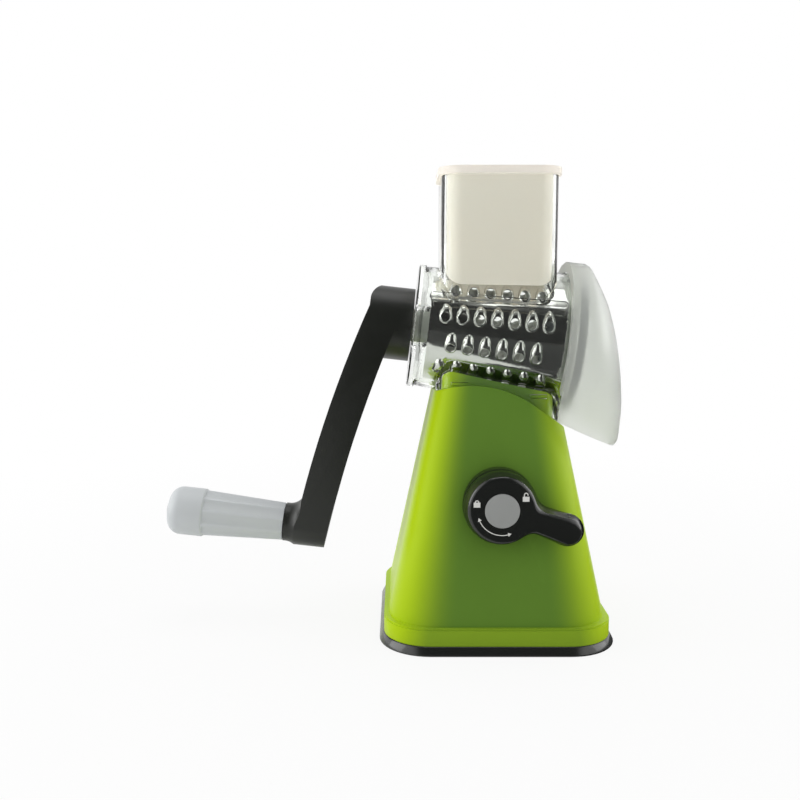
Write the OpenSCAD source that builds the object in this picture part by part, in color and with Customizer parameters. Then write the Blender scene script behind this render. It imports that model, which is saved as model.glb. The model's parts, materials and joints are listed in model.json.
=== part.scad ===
// Rotary cheese grater on a suction base.
//
// Frame: millimetres, +Z up, origin on the table at the middle of the base. The crank is on the
// -X side, the outlet on the +X side, and the locking lever faces -Y. The drum, its chamber and
// the crank share one axis in the plane y = 0, tilted down towards the outlet.
//
// Parts on the drum axis are drawn in the axis frame: local +Z runs along the axis towards the
// outlet and is called s, local +X points down and is called d. Parts on the lever axis are drawn
// in the lever frame: local +Z points to the front, +X to the right and +Y up.

/* [Base] */
// Width and depth of the black foot ring
base_w = 126; // [122:1:130]
// Corner radius of the foot ring
base_corner_r = 27; // [24:1:28]
// Height of the foot ring that shows below the shell
ring_h = 4.8; // [4:0.1:5]
// Height of the straight band at the foot of the shell
band_h = 9; // [8:0.5:10]
// Wall of the shell
shell_wall = 2.6; // [2.4:0.1:2.8]

/* [Tower] */
// Step in from the face of the band to the foot of the tower
tower_step = 2.6; // [2:0.1:3.2]
// Width of the tower where its shoulder starts
shoulder_w = 65.1; // [64:0.1:66]
// Height of the highest point of the shoulder
shoulder_z = 137; // [136:0.5:138]
// Place of the highest point of the shoulder along X
shoulder_x = -14; // [-16:1:-12]

/* [Axis] */
// Height of the drum axis above the middle of the base
axis_z = 162.75; // [162:0.25:164]
// Tilt of the drum axis down towards the outlet, in degrees
tilt = 6.4; // [6:0.1:7]

/* [Chamber] */
// Wall of the clear chamber
chamber_wall = 2.1; // [2:0.1:2.2]
// Width of the hopper along X
hopper_w = 62; // [61:0.5:63]
// Depth of the hopper along Y
hopper_d = 59; // [58:0.5:60]
// Height of the hopper's rim above the table
hopper_z = 247.3; // [240:0.1:252]

/* [Drum] */
// Rows of grating teeth around the drum
tooth_rows = 12; // [12:2:12]
// Teeth in the longer rows, the rows between them have one fewer
row_teeth = 7; // [5:1:7]
// Step between the teeth of a row
tooth_pitch = 9.08; // [8.8:0.02:9.1]
// Radius of each tooth at its foot
tooth_bulge_r = 4.2; // [3.8:0.1:4.3]
// Height that a tooth stands above the drum
tooth_h = 2.1; // [1.8:0.1:2.2]
// Thickness of the drum's steel sheet
sheet_t = 0.8; // [0.6:0.1:1]

/* [Crank] */
// Distance from the drum axis to the grip's axis
crank_throw = 120; // [110:1:122]
// Radius of the crank's hub
crank_hub_r = 20.2; // [19:0.1:20.5]

/* [Lock] */
// Height of the lever's axis
lever_z = 76; // [75:0.5:77]
// Length of the lever from its axis to the middle of its round end
lever_l = 36.2; // [33:0.1:37]
// Turn of the lever from released to locked, in degrees
lever_turn = 144; // [120:1:144]
// Rise of the suction cup's middle over that turn
cup_lift = 7; // [5:0.5:7]

/* [Hidden] */
$fn = 72;

// Gaps: running fits, parts that are only slid together, and overshoot for clean cuts.
run = 0.05;
slip = 0.4;
eps = 0.1;
thin = 0.01;
far = 200;

// Colours
green = "#8cb32c";
black = "#252824";
rubber = "#1d1f1d";
grey = "#b7bcbc";
mid_grey = "#8e9092";
frosted = "#dcdacd";
clear = "#dfe8e2";
steel = "#c4c6c2";
white = "#e8e8e4";

// Foot: half widths are those of square prisms with round corners
base_half = base_w / 2;
band_half = base_half - 2.4;
band_z0 = ring_h;
band_z1 = band_z0 + band_h;
band_round = 0.8;
tower_half = band_half - tower_step;
tower_lean = atan((tower_half - shoulder_w / 2) / (shoulder_z - band_z1));
plate_z0 = 6;
plate_t = 3;
ring_tongue_half = band_half - shell_wall - slip;
ring_tongue_z = band_z0 + 5.2;
ring_pocket_half = ring_tongue_half - 2.4;
ring_lip_half = ring_pocket_half - 2.2;
ring_lip_t = 2.4;
plate_half = ring_pocket_half - slip / 2;

// Screws of the base plate
screw_at = plate_half - 13;
screw_r = 2;
screw_head_r = 3.8;
screw_head_h = 2.3;
screw_l = 16;
boss_r = 4.5;
boss_h = 14;
boss_rib_l = 20;
boss_rib_t = 2.4;

// Suction cup and the pan in the base plate that it moves in
cup_r = ring_lip_half - 0.6;
cup_bead_w = 3.4;
cup_hub_r = 12;
cup_hub_z0 = 5;
cup_hub_z1 = 14;
pan_r = cup_r - 8.4;
pan_wall = 2.5;
pan_z = 20.5;
turret_r = 13.5;
turret_z = 37.5;

// Pull rod
rod_r = 3.5;
rod_foot_r = 9;
rod_foot_z = 7.1;
rod_foot_h = 2.2;
rod_collar_r = 11;
rod_collar_h = 1.5;
rod_top_z = 52;

// Release spring, between the rod's collar and the roof of the turret
spring_r = 8.8;
spring_wire_r = 0.8;
spring_turns = 5;
spring_z0 = cup_hub_z1 + eps + rod_collar_h;
spring_z1 = turret_z - pan_wall;

// Cam: an Archimedean spiral, so the rise is in step with the lever's turn
cam_r0 = 8;
cam_t = 10;
cam_lead = 8;
shaft_r = 5;
shaft_collar_r = 7.5;
tail_r = 4;
square_w = 7;
square_l = 7;
pin_r = 2.5;
pin_gap = 0.3;
pin_z = lever_z + cam_r0 + pin_gap + pin_r;
yoke_t = 3;
yoke_half_w = 9;
yoke_in = 7;
yoke_floor_z = 44;
yoke_block_h = 8;
rib_y = 13;
rib_t = 3;

// Lever bush and lever
bush_tube_r = 8;
bush_flange_r = 19.4;
bush_in = 17;
bush_stand = 4;
bush_face = tower_at(lever_z) + bush_stand;
lever_hub_r = bush_flange_r;
lever_foot = bush_face + 0.3;
lever_t = 10.8;
lever_face = bush_face + lever_t;
lever_round = 3;
lever_end_r = 8.2;
lever_neck_w = 14;
lever_rest = -18.3;
lever_back_gap = 0.6;
lever_screw_r = 1.5;
lever_screw_head_r = 3;
lever_seat = lever_face - 3.9;
lever_cap_r = 8.9;
lever_cap_t = 2.6;
lever_cap_z = lever_face - 2.2;
lever_cap_round = 0.5;

// Chamber, in the axis frame
end_s0 = -45.2;
end_rim_s = -41.2;
end_rim_r = 34;
end_wall_t = 2.6;
end_boss_r = 11.5;
end_boss_s = -38.6;
cone_s1 = shoulder_w / 2 + 3.45;
flange_r = 38.8;
flange_s1 = cone_s1 + 3.6;
cone_r0 = 33.2;
cone_r1 = flange_r - 0.4;
hopper_x = 1;
hopper_wall = 2.5;
hopper_r = 11;
hopper_z0 = axis_z + 2;
end_round = 0.8;
skirt_x = 0.75;
skirt_w = 2 * tower_at(shoulder_z) + 1.4;
skirt_d = skirt_w - 5.5;
skirt_r = 9;
skirt_wall = 2.2;
skirt_z0 = shoulder_z - 37;
skirt_z1 = axis_z - 12;
rail_angle = 32;
rail_w = 3.8;
rail_h = 1.3;
rail_l = 69;
rail_s = -37;

// Neck of the shell, which the skirt of the chamber drops over
neck_w = skirt_w - 2 * skirt_wall - 2 * slip;
neck_d = skirt_d - 2 * skirt_wall - 2 * slip;
neck_r = skirt_r - skirt_wall - slip;
neck_z0 = skirt_z0;
neck_z1 = skirt_z1 - 1;
lug_x = 21;
lug_l = 9;
lug_r = 0.9;

// Drum, in the axis frame
drum_s0 = -37.4;
drum_s1 = cone_s1 + 2;
drum_gap = 2.4;
drum_r0 = cone_r0 - chamber_wall - drum_gap;
drum_r1 = cone_r1 - chamber_wall - drum_gap;
tooth_s0 = -29;
tooth_angle0 = -108;
tooth_hole_r = 2.4;
tooth_tip_r = 2.2;
tooth_sink = 1.5;
tooth_slant = 36;
hub_disc_s = -37;
hub_disc_t = 3.5;
hub_boss_r = 9.5;
hub_boss_s = -16;
hub_ribs = 6;
hub_rib_h = 5;
hub_rib_t = 2;
hex_af = 10;
hex_end_s = hub_boss_s - 2;
rim_s0 = flange_s1 + slip;
rim_s1 = rim_s0 + 5;
rim_in_r = drum_r1 - 3.3;
rim_round = 0.8;
rim_sleeve_s = 31;

// Crank, in the axis frame
hub_face_s = -45.8;
hub_end_s = -61;
journal_r = 6;
bush_r = 9;
bush_s0 = -45.5;
bush_flange_t = 0.7;
bush_flange_w = 1.6;
arm_wall = 2.8;
arm_outer_s = -72.6;
arm_outer_bend = 1282;
arm_inner_s = -54.2;
arm_inner_bend = 1515;
arm_corner_r = 8;
arm_rib_d = [50, 76];
arm_rib_t = 2;
pocket_d0 = 26;
pocket_d1 = crank_throw - 18;
boss_end_r = 12.4;
neck_end_s = -105.3;
neck_root_s = -92;
neck_fillet_r = 8;
grip_neck_r = 10.9;
axle_r = 4;
axle_head_r = 5.7;
axle_head_t = 2.4;
axle_in_s = -84;
grip_s0 = neck_end_s - 0.5;
grip_handle_l = 46.2;
grip_step_s = grip_s0 - grip_handle_l;
grip_step_r = 13.1;
grip_knob_l = 20;
grip_end_s = grip_step_s - grip_knob_l;
grip_r = 13.65;
grip_round = 7.2;
grip_flutes = 10;
flute_r = 9;
flute_depth = 0.9;
flute_l = grip_s0 - grip_step_s - 1.2;
crank_screw_r = 2.5;
crank_screw_head_r = 4.6;
crank_screw_head_h = 3;
crank_screw_s = hub_end_s - 4;

// Pusher
pusher_wall = 1.8;
pusher_w = hopper_w - 2 * hopper_wall - 2 * slip;
pusher_d = hopper_d - 2 * hopper_wall - 2 * slip;
pusher_r = hopper_r - hopper_wall - slip;
pusher_z0 = axis_z + 4;
pusher_lift_r = 6.8;
lid_over = 1.6;
lid_z = hopper_z + 0.2;
lid_t = 4;

// Spout, in the axis frame
spout_r = flange_r + 5.7;
spout_s0 = cone_s1 - slip;
spout_s1 = rim_s1 + 0.5;
spout_round = 3.4;
spout_wall = 1.8;
spout_plate_s = flange_s1 - 0.2;
spout_plate_d = 24;
spout_edge = [42.4, spout_s1 - 4.5];
spout_edge_angle = 18.3;
// Slices of the hood: how far down each lies, its middle along the axis, and its radius
spout_slices = [
    [-34, spout_s1 - 13, 19.8], [-22, spout_s1 - 12, 26.5], [-10, spout_s1 - 10.2, 29.7],
    [2, spout_s1 - 8.5, 32], [15, spout_s1 - 6.8, 34.2], [28, spout_s1 - 5.5, 35.6],
    [50, spout_s1 - 5.5, 36.2]
];

// Half width and corner radius of the tower at a height
function tower_at(z) = tower_half - (z - band_z1) * tan(tower_lean);
function corner_at(z) = base_corner_r - 1 - 0.075 * (z - band_z1);
// Outer radius of the chamber, and of the drum, at a place along the axis
function chamber_r(s) = cone_r0 + (s - end_rim_s) * (cone_r1 - cone_r0) / (cone_s1 - end_rim_s);
function drum_r(s) = drum_r0 + (s - drum_s0) * (drum_r1 - drum_r0) / (drum_s1 - drum_s0);
// Outer and inner edge of the crank's arm, seen from the front, at a distance down the arm
function arm_outer(d) = arm_outer_s - 0.309 * d + d * d / arm_outer_bend;
function arm_inner(d) = arm_inner_s - 0.2945 * d + d * d / arm_inner_bend;
// Points of an arc
function arc(x, y, r, a0, a1, n) = [
    for (i = [0:n]) [x + r * cos(a0 + (a1 - a0) * i / n), y + r * sin(a0 + (a1 - a0) * i / n)]
];

// ---------- shared forms ----------

module on_axis() translate([0, 0, axis_z]) rotate([0, 90 + tilt, 0]) children();
module on_grip() on_axis() translate([crank_throw, 0, 0]) children();
module on_lever() translate([0, 0, lever_z]) rotate([90, 0, 0]) children();

// Rectangle with round corners, centred
module rrect(w, d, r) {
    square([w - 2 * r, d], center = true);
    square([w, d - 2 * r], center = true);
    for (x = [-1, 1], y = [-1, 1]) translate([x * (w / 2 - r), y * (d / 2 - r)]) circle(r);
}

module rprism(w, d, r, z0, z1) translate([0, 0, z0]) linear_extrude(z1 - z0) rrect(w, d, r);

// Square prism with round corners, given by its half width
module foot_prism(half, z0, z1) {
    rprism(2 * half, 2 * half, max(base_corner_r - (base_half - half), 4), z0, z1);
}

// Straight cone along the axis frame's Z
module cone(s0, s1, r0, r1) translate([0, 0, s0]) cylinder(h = s1 - s0, r1 = r0, r2 = r1);

module rod(z0, z1, r) translate([0, 0, z0]) cylinder(h = z1 - z0, r = r);

module hex(z0, z1, af) translate([0, 0, z0]) cylinder(h = z1 - z0, r = af / sqrt(3), $fn = 6);

// Everything below the shoulder line, which is two arcs and a straight run to the right
module below_shoulder(lift) {
    left_r = 48;
    right_r = 58;
    run_a = 36;
    z = shoulder_z + lift;
    curve = concat(
        arc(shoulder_x, z - left_r, left_r, 150, 90, 12),
        arc(shoulder_x, z - right_r, right_r, 88, 90 - run_a, 8)
    );
    last = curve[len(curve) - 1];
    rotate([90, 0, 0]) linear_extrude(far, center = true) polygon(concat(
        [[-far, -far], [-far, curve[0].y - 40]],
        curve,
        [[last.x + 30, last.y - 30 * tan(run_a)], [far, -far]]
    ));
}

// The tower's four leaning walls from z0 up to a little above the shoulder, drawn in by inset
module tower_frustum(inset, z0) {
    hull() for (z = [z0, shoulder_z + 3]) {
        half = tower_at(z) - inset;
        rprism(2 * half, 2 * half, corner_at(z) - inset, z, z + thin, $fn = 64);
    }
}

// Solid of the tower under its shoulder, drawn in by inset
module tower(inset, z0) {
    intersection() {
        tower_frustum(inset, z0);
        below_shoulder(-inset);
    }
}

// Cone that the chamber lies in, grown by grow
module cradle(grow) {
    on_axis() cone(-70, 70, chamber_r(-70) + grow, chamber_r(70) + grow);
}

// ---------- base ----------

module base_shell() color(green) {
    difference() {
        union() {
            difference() {
                union() {
                    foot_prism(band_half, band_z0, band_z1 - band_round);
                    foot_prism(band_half - band_round, band_z1 - band_round, band_z1);
                    tower(0, band_z1);
                    neck(0, neck_z1);
                }
                foot_prism(band_half - shell_wall, band_z0 - eps, band_z1 - shell_wall);
                difference() {
                    union() {
                        tower(shell_wall, band_z1 - shell_wall - eps);
                        neck(shell_wall, neck_z1 + eps);
                    }
                    cradle(slip + shell_wall);
                }
            }
            intersection() {
                tower(shell_wall / 2, band_z1 - 6);
                shell_inside();
            }
            neck_lugs(lug_r);
        }
        cradle(slip);
        on_lever() rod(0, far, bush_tube_r + run);
        on_lever() rod(-rib_y - rib_t - eps, -rib_y + eps, tail_r + run);
    }
    // bosses that the plate's screws go into, with a rib to each corner
    intersection() {
        tower_frustum(shell_wall / 2, plate_z0);
        at_screws() screw_boss();
    }
}

// Rectangular neck that the chamber's skirt drops over
module neck(inset, z1) {
    translate([skirt_x, 0, 0])
        rprism(neck_w - 2 * inset, neck_d - 2 * inset, neck_r - inset, neck_z0, z1);
}

module shell_inside() {
    rib_h = 28;
    // tube that carries the lever's bush
    on_lever() rod(bush_in - 1, far, bush_tube_r + shell_wall);
    // cross rib that carries the tail of the cam shaft
    translate([-far / 2, rib_y, lever_z - rib_h / 2]) cube([far, rib_t, rib_h]);
}

// Places its children at the four screws, with local +X towards the corner
module at_screws() {
    for (x = [-1, 1], y = [-1, 1]) translate([x * screw_at, y * screw_at, 0])
        rotate([0, 0, atan2(y, x)]) children();
}

module screw_boss() {
    z0 = plate_z0 + plate_t;
    difference() {
        union() {
            rod(z0, z0 + boss_h, boss_r);
            translate([boss_r - 1, -boss_rib_t / 2, z0]) cube([boss_rib_l, boss_rib_t, boss_h]);
        }
        rod(0, plate_z0 + screw_l, screw_r + run);
    }
}

// Snap lugs on the front and back of the neck; grown by a gap they cut the chamber's grooves
module neck_lugs(r) {
    for (x = [-1, 1], y = [-1, 1]) {
        translate([skirt_x + x * lug_x - lug_l / 2, y * neck_d / 2, lug_z(x)])
            rotate([0, 90, 0]) cylinder(h = lug_l, r = r, $fn = 24);
    }
}

// The shoulder falls to the right, so the lugs there sit lower
function lug_z(x) = shoulder_z + (x < 0 ? 0.5 : -6);

// Floor of the base: a plate with a shallow pan for the cup and a turret for its spring
module base_plate() color(black) difference() {
    union() {
        foot_prism(plate_half, plate_z0, plate_z0 + plate_t);
        rod(plate_z0, pan_z, pan_r + pan_wall);
        rod(pan_z - pan_wall, turret_z, turret_r + pan_wall);
    }
    rod(0, pan_z - pan_wall, pan_r);
    rod(0, turret_z - pan_wall, turret_r);
    rod(0, far, rod_r + run);
    at_screws() rod(0, far, screw_r + run);
}

// Foot ring: a tapered skirt, a tongue up inside the shell, and a lip under the plate
module base_ring() color(rubber) difference() {
    union() {
        hull() {
            foot_prism(base_half, 0, band_round, $fn = 48);
            foot_prism(band_half + slip, ring_h - thin, ring_h, $fn = 48);
        }
        foot_prism(ring_tongue_half, ring_h - eps, ring_tongue_z);
    }
    foot_prism(ring_lip_half, -eps, far);
    foot_prism(ring_pocket_half, plate_z0, far);
    // the lip under the plate stands clear of the table
    foot_prism(ring_pocket_half + ring_lip_t / 2, -eps, plate_z0 - ring_lip_t);
}

module base_screws() color(steel) at_screws() difference() {
    union() {
        rod(plate_z0 - screw_head_h, plate_z0, screw_head_r);
        rod(plate_z0 - eps, plate_z0 + screw_l - 1, screw_r);
    }
    translate([0, 0, plate_z0 - screw_head_h]) cross_recess(4, 1.2);
}

// Cutter for a cross recess that sinks by depth from z = 0
module cross_recess(w, depth) {
    for (a = [0, 90]) rotate([0, 0, a]) translate([-w / 2, -0.5, -eps]) cube([w, 1, depth + eps]);
}

// Thin disc with a bead that seals on the table and a hub that grips the rod's foot
module suction_cup() color(rubber) difference() {
    bead_in = cup_r - cup_bead_w;
    rotate_extrude() polygon(concat(
        [[0, cup_hub_z0], [cup_hub_r, cup_hub_z0], [30, 5.2], [bead_in - 6, 2.2], [bead_in, 0]],
        [[cup_r, 0], [cup_r, plate_z0 - eps], [bead_in + 0.4, plate_z0 - eps]],
        [[bead_in - 1, 4.4], [bead_in - 5.5, 4.6], [30.5, 7.4], [cup_hub_r + 2, 7.8]],
        [[cup_hub_r, 9], [cup_hub_r, cup_hub_z1], [0, cup_hub_z1]]
    ));
    rod(rod_foot_z - eps, rod_foot_z + rod_foot_h + eps, rod_foot_r + eps);
    rod(rod_foot_z, far, rod_r + eps);
}

module pull_rod() color(steel) {
    rod(rod_foot_z, rod_foot_z + rod_foot_h, rod_foot_r);
    rod(rod_foot_z, rod_top_z, rod_r);
    rod(spring_z0 - rod_collar_h, spring_z0, rod_collar_r);
}

// Coil swept along a helix as one polyhedron, closed at both ends
module release_spring() color(steel) {
    sides = 8;
    turn_steps = 20;
    steps = turn_steps * spring_turns;
    rise = (spring_z1 - spring_z0 - 2 * spring_wire_r - 2 * eps) / steps;
    ring = [for (i = [0:steps]) for (j = [0:sides - 1])
        let (a = 360 * i / turn_steps, b = 360 * j / sides, r = spring_r + spring_wire_r * cos(b))
        [r * cos(a), r * sin(a), spring_z0 + eps + spring_wire_r * (1 + sin(b)) + rise * i]
    ];
    skin = [for (i = [0:steps - 1]) for (j = [0:sides - 1])
        let (k = (j + 1) % sides)
        [i * sides + j, (i + 1) * sides + j, (i + 1) * sides + k, i * sides + k]
    ];
    start = [[for (j = [0:sides - 1]) j]];
    finish = [[for (j = [sides - 1:-1:0]) steps * sides + j]];
    polyhedron(ring, concat(skin, start, finish), convexity = 6);
}

// ---------- lock ----------

// Fork round the cam: two cheeks with a slot for the shaft, joined below by a block
module cam_yoke() color(white) difference() {
    union() {
        for (y = [-1, 1]) translate([0, y * (yoke_in + yoke_t / 2), 0])
            rotate([90, 0, 0]) linear_extrude(yoke_t, center = true) {
                translate([-yoke_half_w, yoke_floor_z])
                    square([2 * yoke_half_w, pin_z - yoke_floor_z]);
                translate([0, pin_z]) circle(yoke_half_w);
            }
        translate([-yoke_half_w, -yoke_in - yoke_t, yoke_floor_z])
            cube([2 * yoke_half_w, 2 * (yoke_in + yoke_t), yoke_block_h]);
    }
    on_lever() linear_extrude(4 * yoke_in, center = true) {
        circle(shaft_r + slip);
        translate([0, -cup_lift]) circle(shaft_r + slip);
        translate([-shaft_r - slip, -cup_lift]) square([2 * (shaft_r + slip), cup_lift]);
    }
    translate([0, 0, pin_z]) rotate([90, 0, 0]) cylinder(h = far, r = pin_r, center = true);
    rod(yoke_floor_z - eps, rod_top_z + eps, rod_r);
}

module follower_pin() color(steel) {
    translate([0, 0, pin_z]) rotate([90, 0, 0])
        cylinder(h = 2 * (yoke_in + yoke_t), r = pin_r, center = true);
}

module cam_shaft() color(white) on_lever() difference() {
    union() {
        // spiral of even lead over the lever's turn, then a round return to the small radius
        translate([0, 0, -cam_t / 2]) linear_extrude(cam_t) polygon(concat(
            [for (a = [-cam_lead:4:lever_turn + cam_lead])
                let (r = cam_r0 + cup_lift * a / lever_turn) [-r * sin(a), r * cos(a)]],
            [for (a = [lever_turn + 2 * cam_lead:10:360 - 2 * cam_lead])
                let (f = (a - lever_turn) / (360 - lever_turn),
                     r = cam_r0 + cup_lift * (1 - f) * (1 - f))
                [-r * sin(a), r * cos(a)]]
        ));
        rod(-rib_y - rib_t - 2, 0, tail_r);
        rod(-yoke_in - yoke_t - 2, bush_face - 0.2, shaft_r);
        // collar that keeps the shaft from coming out of the bush
        rod(bush_in - 4, bush_in - 1.3, shaft_collar_r);
        square_prism(square_w, bush_face - 1, square_l);
    }
    rod(bush_face - 12, far, lever_screw_r);
}

// Square prism on the lever's axis
module square_prism(w, z0, h) translate([-w / 2, -w / 2, z0]) cube([w, w, h]);

// Plain bearing in the shell, with a flange that fills the gap between the wall and the lever
module lever_bush() color(black) on_lever() difference() {
    union() {
        rod(bush_in, bush_face - 1, bush_tube_r);
        rod(bush_in + bush_tube_r, bush_face, bush_flange_r);
    }
    rod(0, far, shaft_r + run);
    // the back of the flange follows the leaning wall
    intersection() {
        lean_block(run);
        difference() {
            rod(0, far, bush_flange_r + 1);
            rod(0, far, bush_tube_r);
        }
    }
}

// Block behind the plane of the tower's front wall
module lean_block(gap) {
    translate([0, 0, tower_at(lever_z) + gap]) rotate([-tower_lean, 0, 0])
        translate([-far / 2, -far / 2, -far]) cube([far, far, far]);
}

module lever() color(black) on_lever() difference() {
    union() {
        rotate_extrude() polygon(concat(
            [[0, lever_foot], [lever_hub_r, lever_foot]],
            arc(lever_hub_r - lever_round, lever_face - lever_round, lever_round, 0, 90, 8),
            [[0, lever_face]]
        ));
        rotate([0, 0, lever_rest]) translate([0, 0, lever_foot]) linear_extrude(
            lever_face + 0.5 - lever_foot
        ) {
            translate([0, -lever_neck_w / 2]) square([lever_l, lever_neck_w]);
            translate([lever_l, 0]) circle(lever_end_r);
        }
    }
    // back of the arm clears the leaning wall all round its turn
    rotate_extrude() polygon([
        [lever_hub_r + 0.5, 0], [lever_hub_r + 0.5, lever_back(lever_hub_r + 0.5)],
        [far, lever_back(far)], [far, 0]
    ]);
    square_prism(square_w + 2 * run, 0, bush_face + square_l - 0.8);
    rod(0, far, lever_screw_r + run);
    rod(lever_seat, far, lever_screw_head_r + 0.2);
    rod(lever_cap_z, far, lever_cap_r + run);
}

// Height that the arm's back keeps above the wall when it points straight down
function lever_back(r) = tower_at(lever_z) + r * tan(tower_lean) + lever_back_gap;

module lever_screw() color(steel) on_lever() difference() {
    union() {
        rod(bush_face - 6, lever_seat, lever_screw_r);
        rod(lever_seat, lever_seat + 1.6, lever_screw_head_r);
    }
    translate([0, 0, lever_seat + 1.6]) mirror([0, 0, 1]) cross_recess(3.6, 0.9);
}

module lever_cap() color(mid_grey) on_lever() rotate_extrude() polygon(concat(
    [[0, lever_cap_z], [lever_cap_r, lever_cap_z]],
    arc(lever_cap_r - lever_cap_round, lever_cap_z + lever_cap_t - lever_cap_round,
        lever_cap_round, 0, 90, 4),
    [[0, lever_cap_z + lever_cap_t]]
));

// ---------- chamber ----------

module chamber() color(clear) difference() {
    union() {
        on_axis() {
            cone(end_rim_s - eps, cone_s1 + eps, chamber_r(end_rim_s), chamber_r(cone_s1));
            cone(end_s0 + end_round, end_rim_s, end_rim_r, end_rim_r);
            cone(end_s0, end_s0 + end_round, end_rim_r - end_round, end_rim_r);
            cone(cone_s1, flange_s1, flange_r, flange_r);
            rails();
        }
        translate([hopper_x, 0, 0]) rprism(hopper_w, hopper_d, hopper_r, hopper_z0, hopper_z);
        difference() {
            skirt(0, 0);
            skirt(skirt_wall, eps);
            below_shoulder(slip);
            neck_lugs(lug_r + slip);
        }
    }
    on_axis() difference() {
        cone(end_s0 + end_wall_t, flange_s1 + eps, chamber_r(end_s0 + end_wall_t) - chamber_wall,
             chamber_r(flange_s1 + eps) - chamber_wall);
        rod(end_s0, end_boss_s, end_boss_r);
    }
    on_axis() rod(end_s0 - 1, end_boss_s + 1, bush_r + run);
    translate([hopper_x, 0, 0]) rprism(
        hopper_w - 2 * hopper_wall, hopper_d - 2 * hopper_wall, hopper_r - hopper_wall,
        hopper_z0 + 2, hopper_z + eps
    );
}

// Skirt of the chamber, drawn in by inset and longer by over at both ends
module skirt(inset, over) {
    translate([skirt_x, 0, 0]) rprism(
        skirt_w - 2 * inset, skirt_d - 2 * inset, skirt_r - inset, skirt_z0 - over, skirt_z1 + over
    );
}

// Raised rails along both sides of the cone, under the hopper
module rails() {
    half = atan((cone_r1 - cone_r0) / (cone_s1 - end_rim_s));
    sink = 1.4;
    for (side = [-1, 1]) rotate([0, 0, side * (90 + rail_angle)])
        translate([chamber_r(rail_s), 0, rail_s]) rotate([0, half, 0]) translate([-sink, 0, 0]) {
            translate([0, -rail_w / 2, 0]) cube([sink + rail_h, rail_w, rail_l]);
            translate([0, 0, rail_l]) rotate([0, 90, 0]) cylinder(h = sink + rail_h, d = rail_w);
        }
}

module end_bush() color(white) on_axis() difference() {
    union() {
        rod(bush_s0, end_boss_s + eps, bush_r);
        rod(end_boss_s, end_boss_s + bush_flange_t, bush_r + bush_flange_w);
    }
    rod(-far, far, journal_r + run);
}

// ---------- drum ----------

function teeth_in(row) = row_teeth - row % 2;
function tooth_s(row, i) = tooth_s0 + tooth_pitch * (i + 0.5 * (row % 2));
function tooth_angle(row) = tooth_angle0 + 360 * row / tooth_rows;

// Places its children at every tooth: local +X out of the drum, +Y the way the drum turns
module at_teeth() {
    for (row = [0:tooth_rows - 1]) rotate([0, 0, tooth_angle(row)])
        for (i = [0:teeth_in(row) - 1])
            translate([drum_r(tooth_s(row, i)), 0, tooth_s(row, i)]) children();
}

// Steel cone with a row of raised, slant-cut teeth every few degrees: the sheet rises to a blunt
// point behind each hole, and the hole opens on the side that leads as the drum turns
module drum_shell() color(steel) on_axis() difference() {
    union() {
        cone(drum_s0, drum_s1, drum_r(drum_s0), drum_r(drum_s1));
        at_teeth() rotate([0, 90, 0]) translate([0, 0, -tooth_sink])
            cylinder(h = tooth_sink + tooth_h, r1 = tooth_bulge_r, r2 = tooth_tip_r);
    }
    cone(drum_s0 - eps, drum_s1 + eps, drum_r(drum_s0 - eps) - sheet_t,
         drum_r(drum_s1 + eps) - sheet_t);
    at_teeth() translate([-4, -1.4, 0]) rotate([0, 90, tooth_slant])
        cylinder(h = 12, r = tooth_hole_r);
}

module drum_hub() color(black) on_axis() difference() {
    union() {
        cone(hub_disc_s, hub_disc_s + hub_disc_t, drum_r(hub_disc_s) - sheet_t - run,
             drum_r(hub_disc_s + hub_disc_t) - sheet_t - run);
        rod(hub_disc_s, hub_boss_s, hub_boss_r);
        // ribs from the boss to the rim
        for (i = [0:hub_ribs - 1]) rotate([0, 0, 360 * i / hub_ribs])
            translate([0, -hub_rib_t / 2, hub_disc_s + hub_disc_t - eps])
                cube([drum_r(hub_disc_s) - sheet_t - slip, hub_rib_t, hub_rib_h]);
    }
    hex(hub_disc_s - eps, hex_end_s, hex_af + 2 * run);
}

module drum_rim() color(mid_grey) on_axis() difference() {
    union() {
        cone(rim_sleeve_s, rim_s0 + eps, drum_r(rim_sleeve_s) - sheet_t - run,
             drum_r(rim_s0 + eps) - sheet_t - run);
        rod(rim_s0, rim_s1 - rim_round, flange_r);
        cone(rim_s1 - rim_round, rim_s1, flange_r, flange_r - rim_round);
    }
    rod(-far, far, rim_in_r);
}

// ---------- crank ----------

module drive_shaft() color(steel) on_axis() difference() {
    union() {
        rod(hub_end_s, hub_disc_s - eps, journal_r);
        hex(hub_disc_s - 2 * eps, hex_end_s - slip, hex_af);
    }
    rod(hub_end_s - eps, hub_end_s + 10, crank_screw_r);
}

// Arm seen from the front, as a slab across the object; its top outer corner is round
module arm_slab() {
    steps = 10;
    top = -crank_hub_r - 1;
    foot = crank_throw + boss_end_r + 1;
    bend0 = -9;
    bend1 = crank_throw - 16;
    rotate([90, 0, 0]) linear_extrude(60, center = true) polygon(concat(
        [[top, arm_inner(0)], [top, hub_end_s - 3.5]],
        arc(arm_corner_r - crank_hub_r - 0.6, hub_end_s - 0.8, arm_corner_r, 205, 262, 6),
        [for (i = [0:steps]) let (d = bend0 + (bend1 - bend0) * i / steps) [d, arm_outer(d)]],
        [[foot, arm_outer(bend1)]],
        [for (i = [0:steps]) let (d = foot * (1 - i / steps)) [d, arm_inner(d)]]
    ));
}

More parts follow.
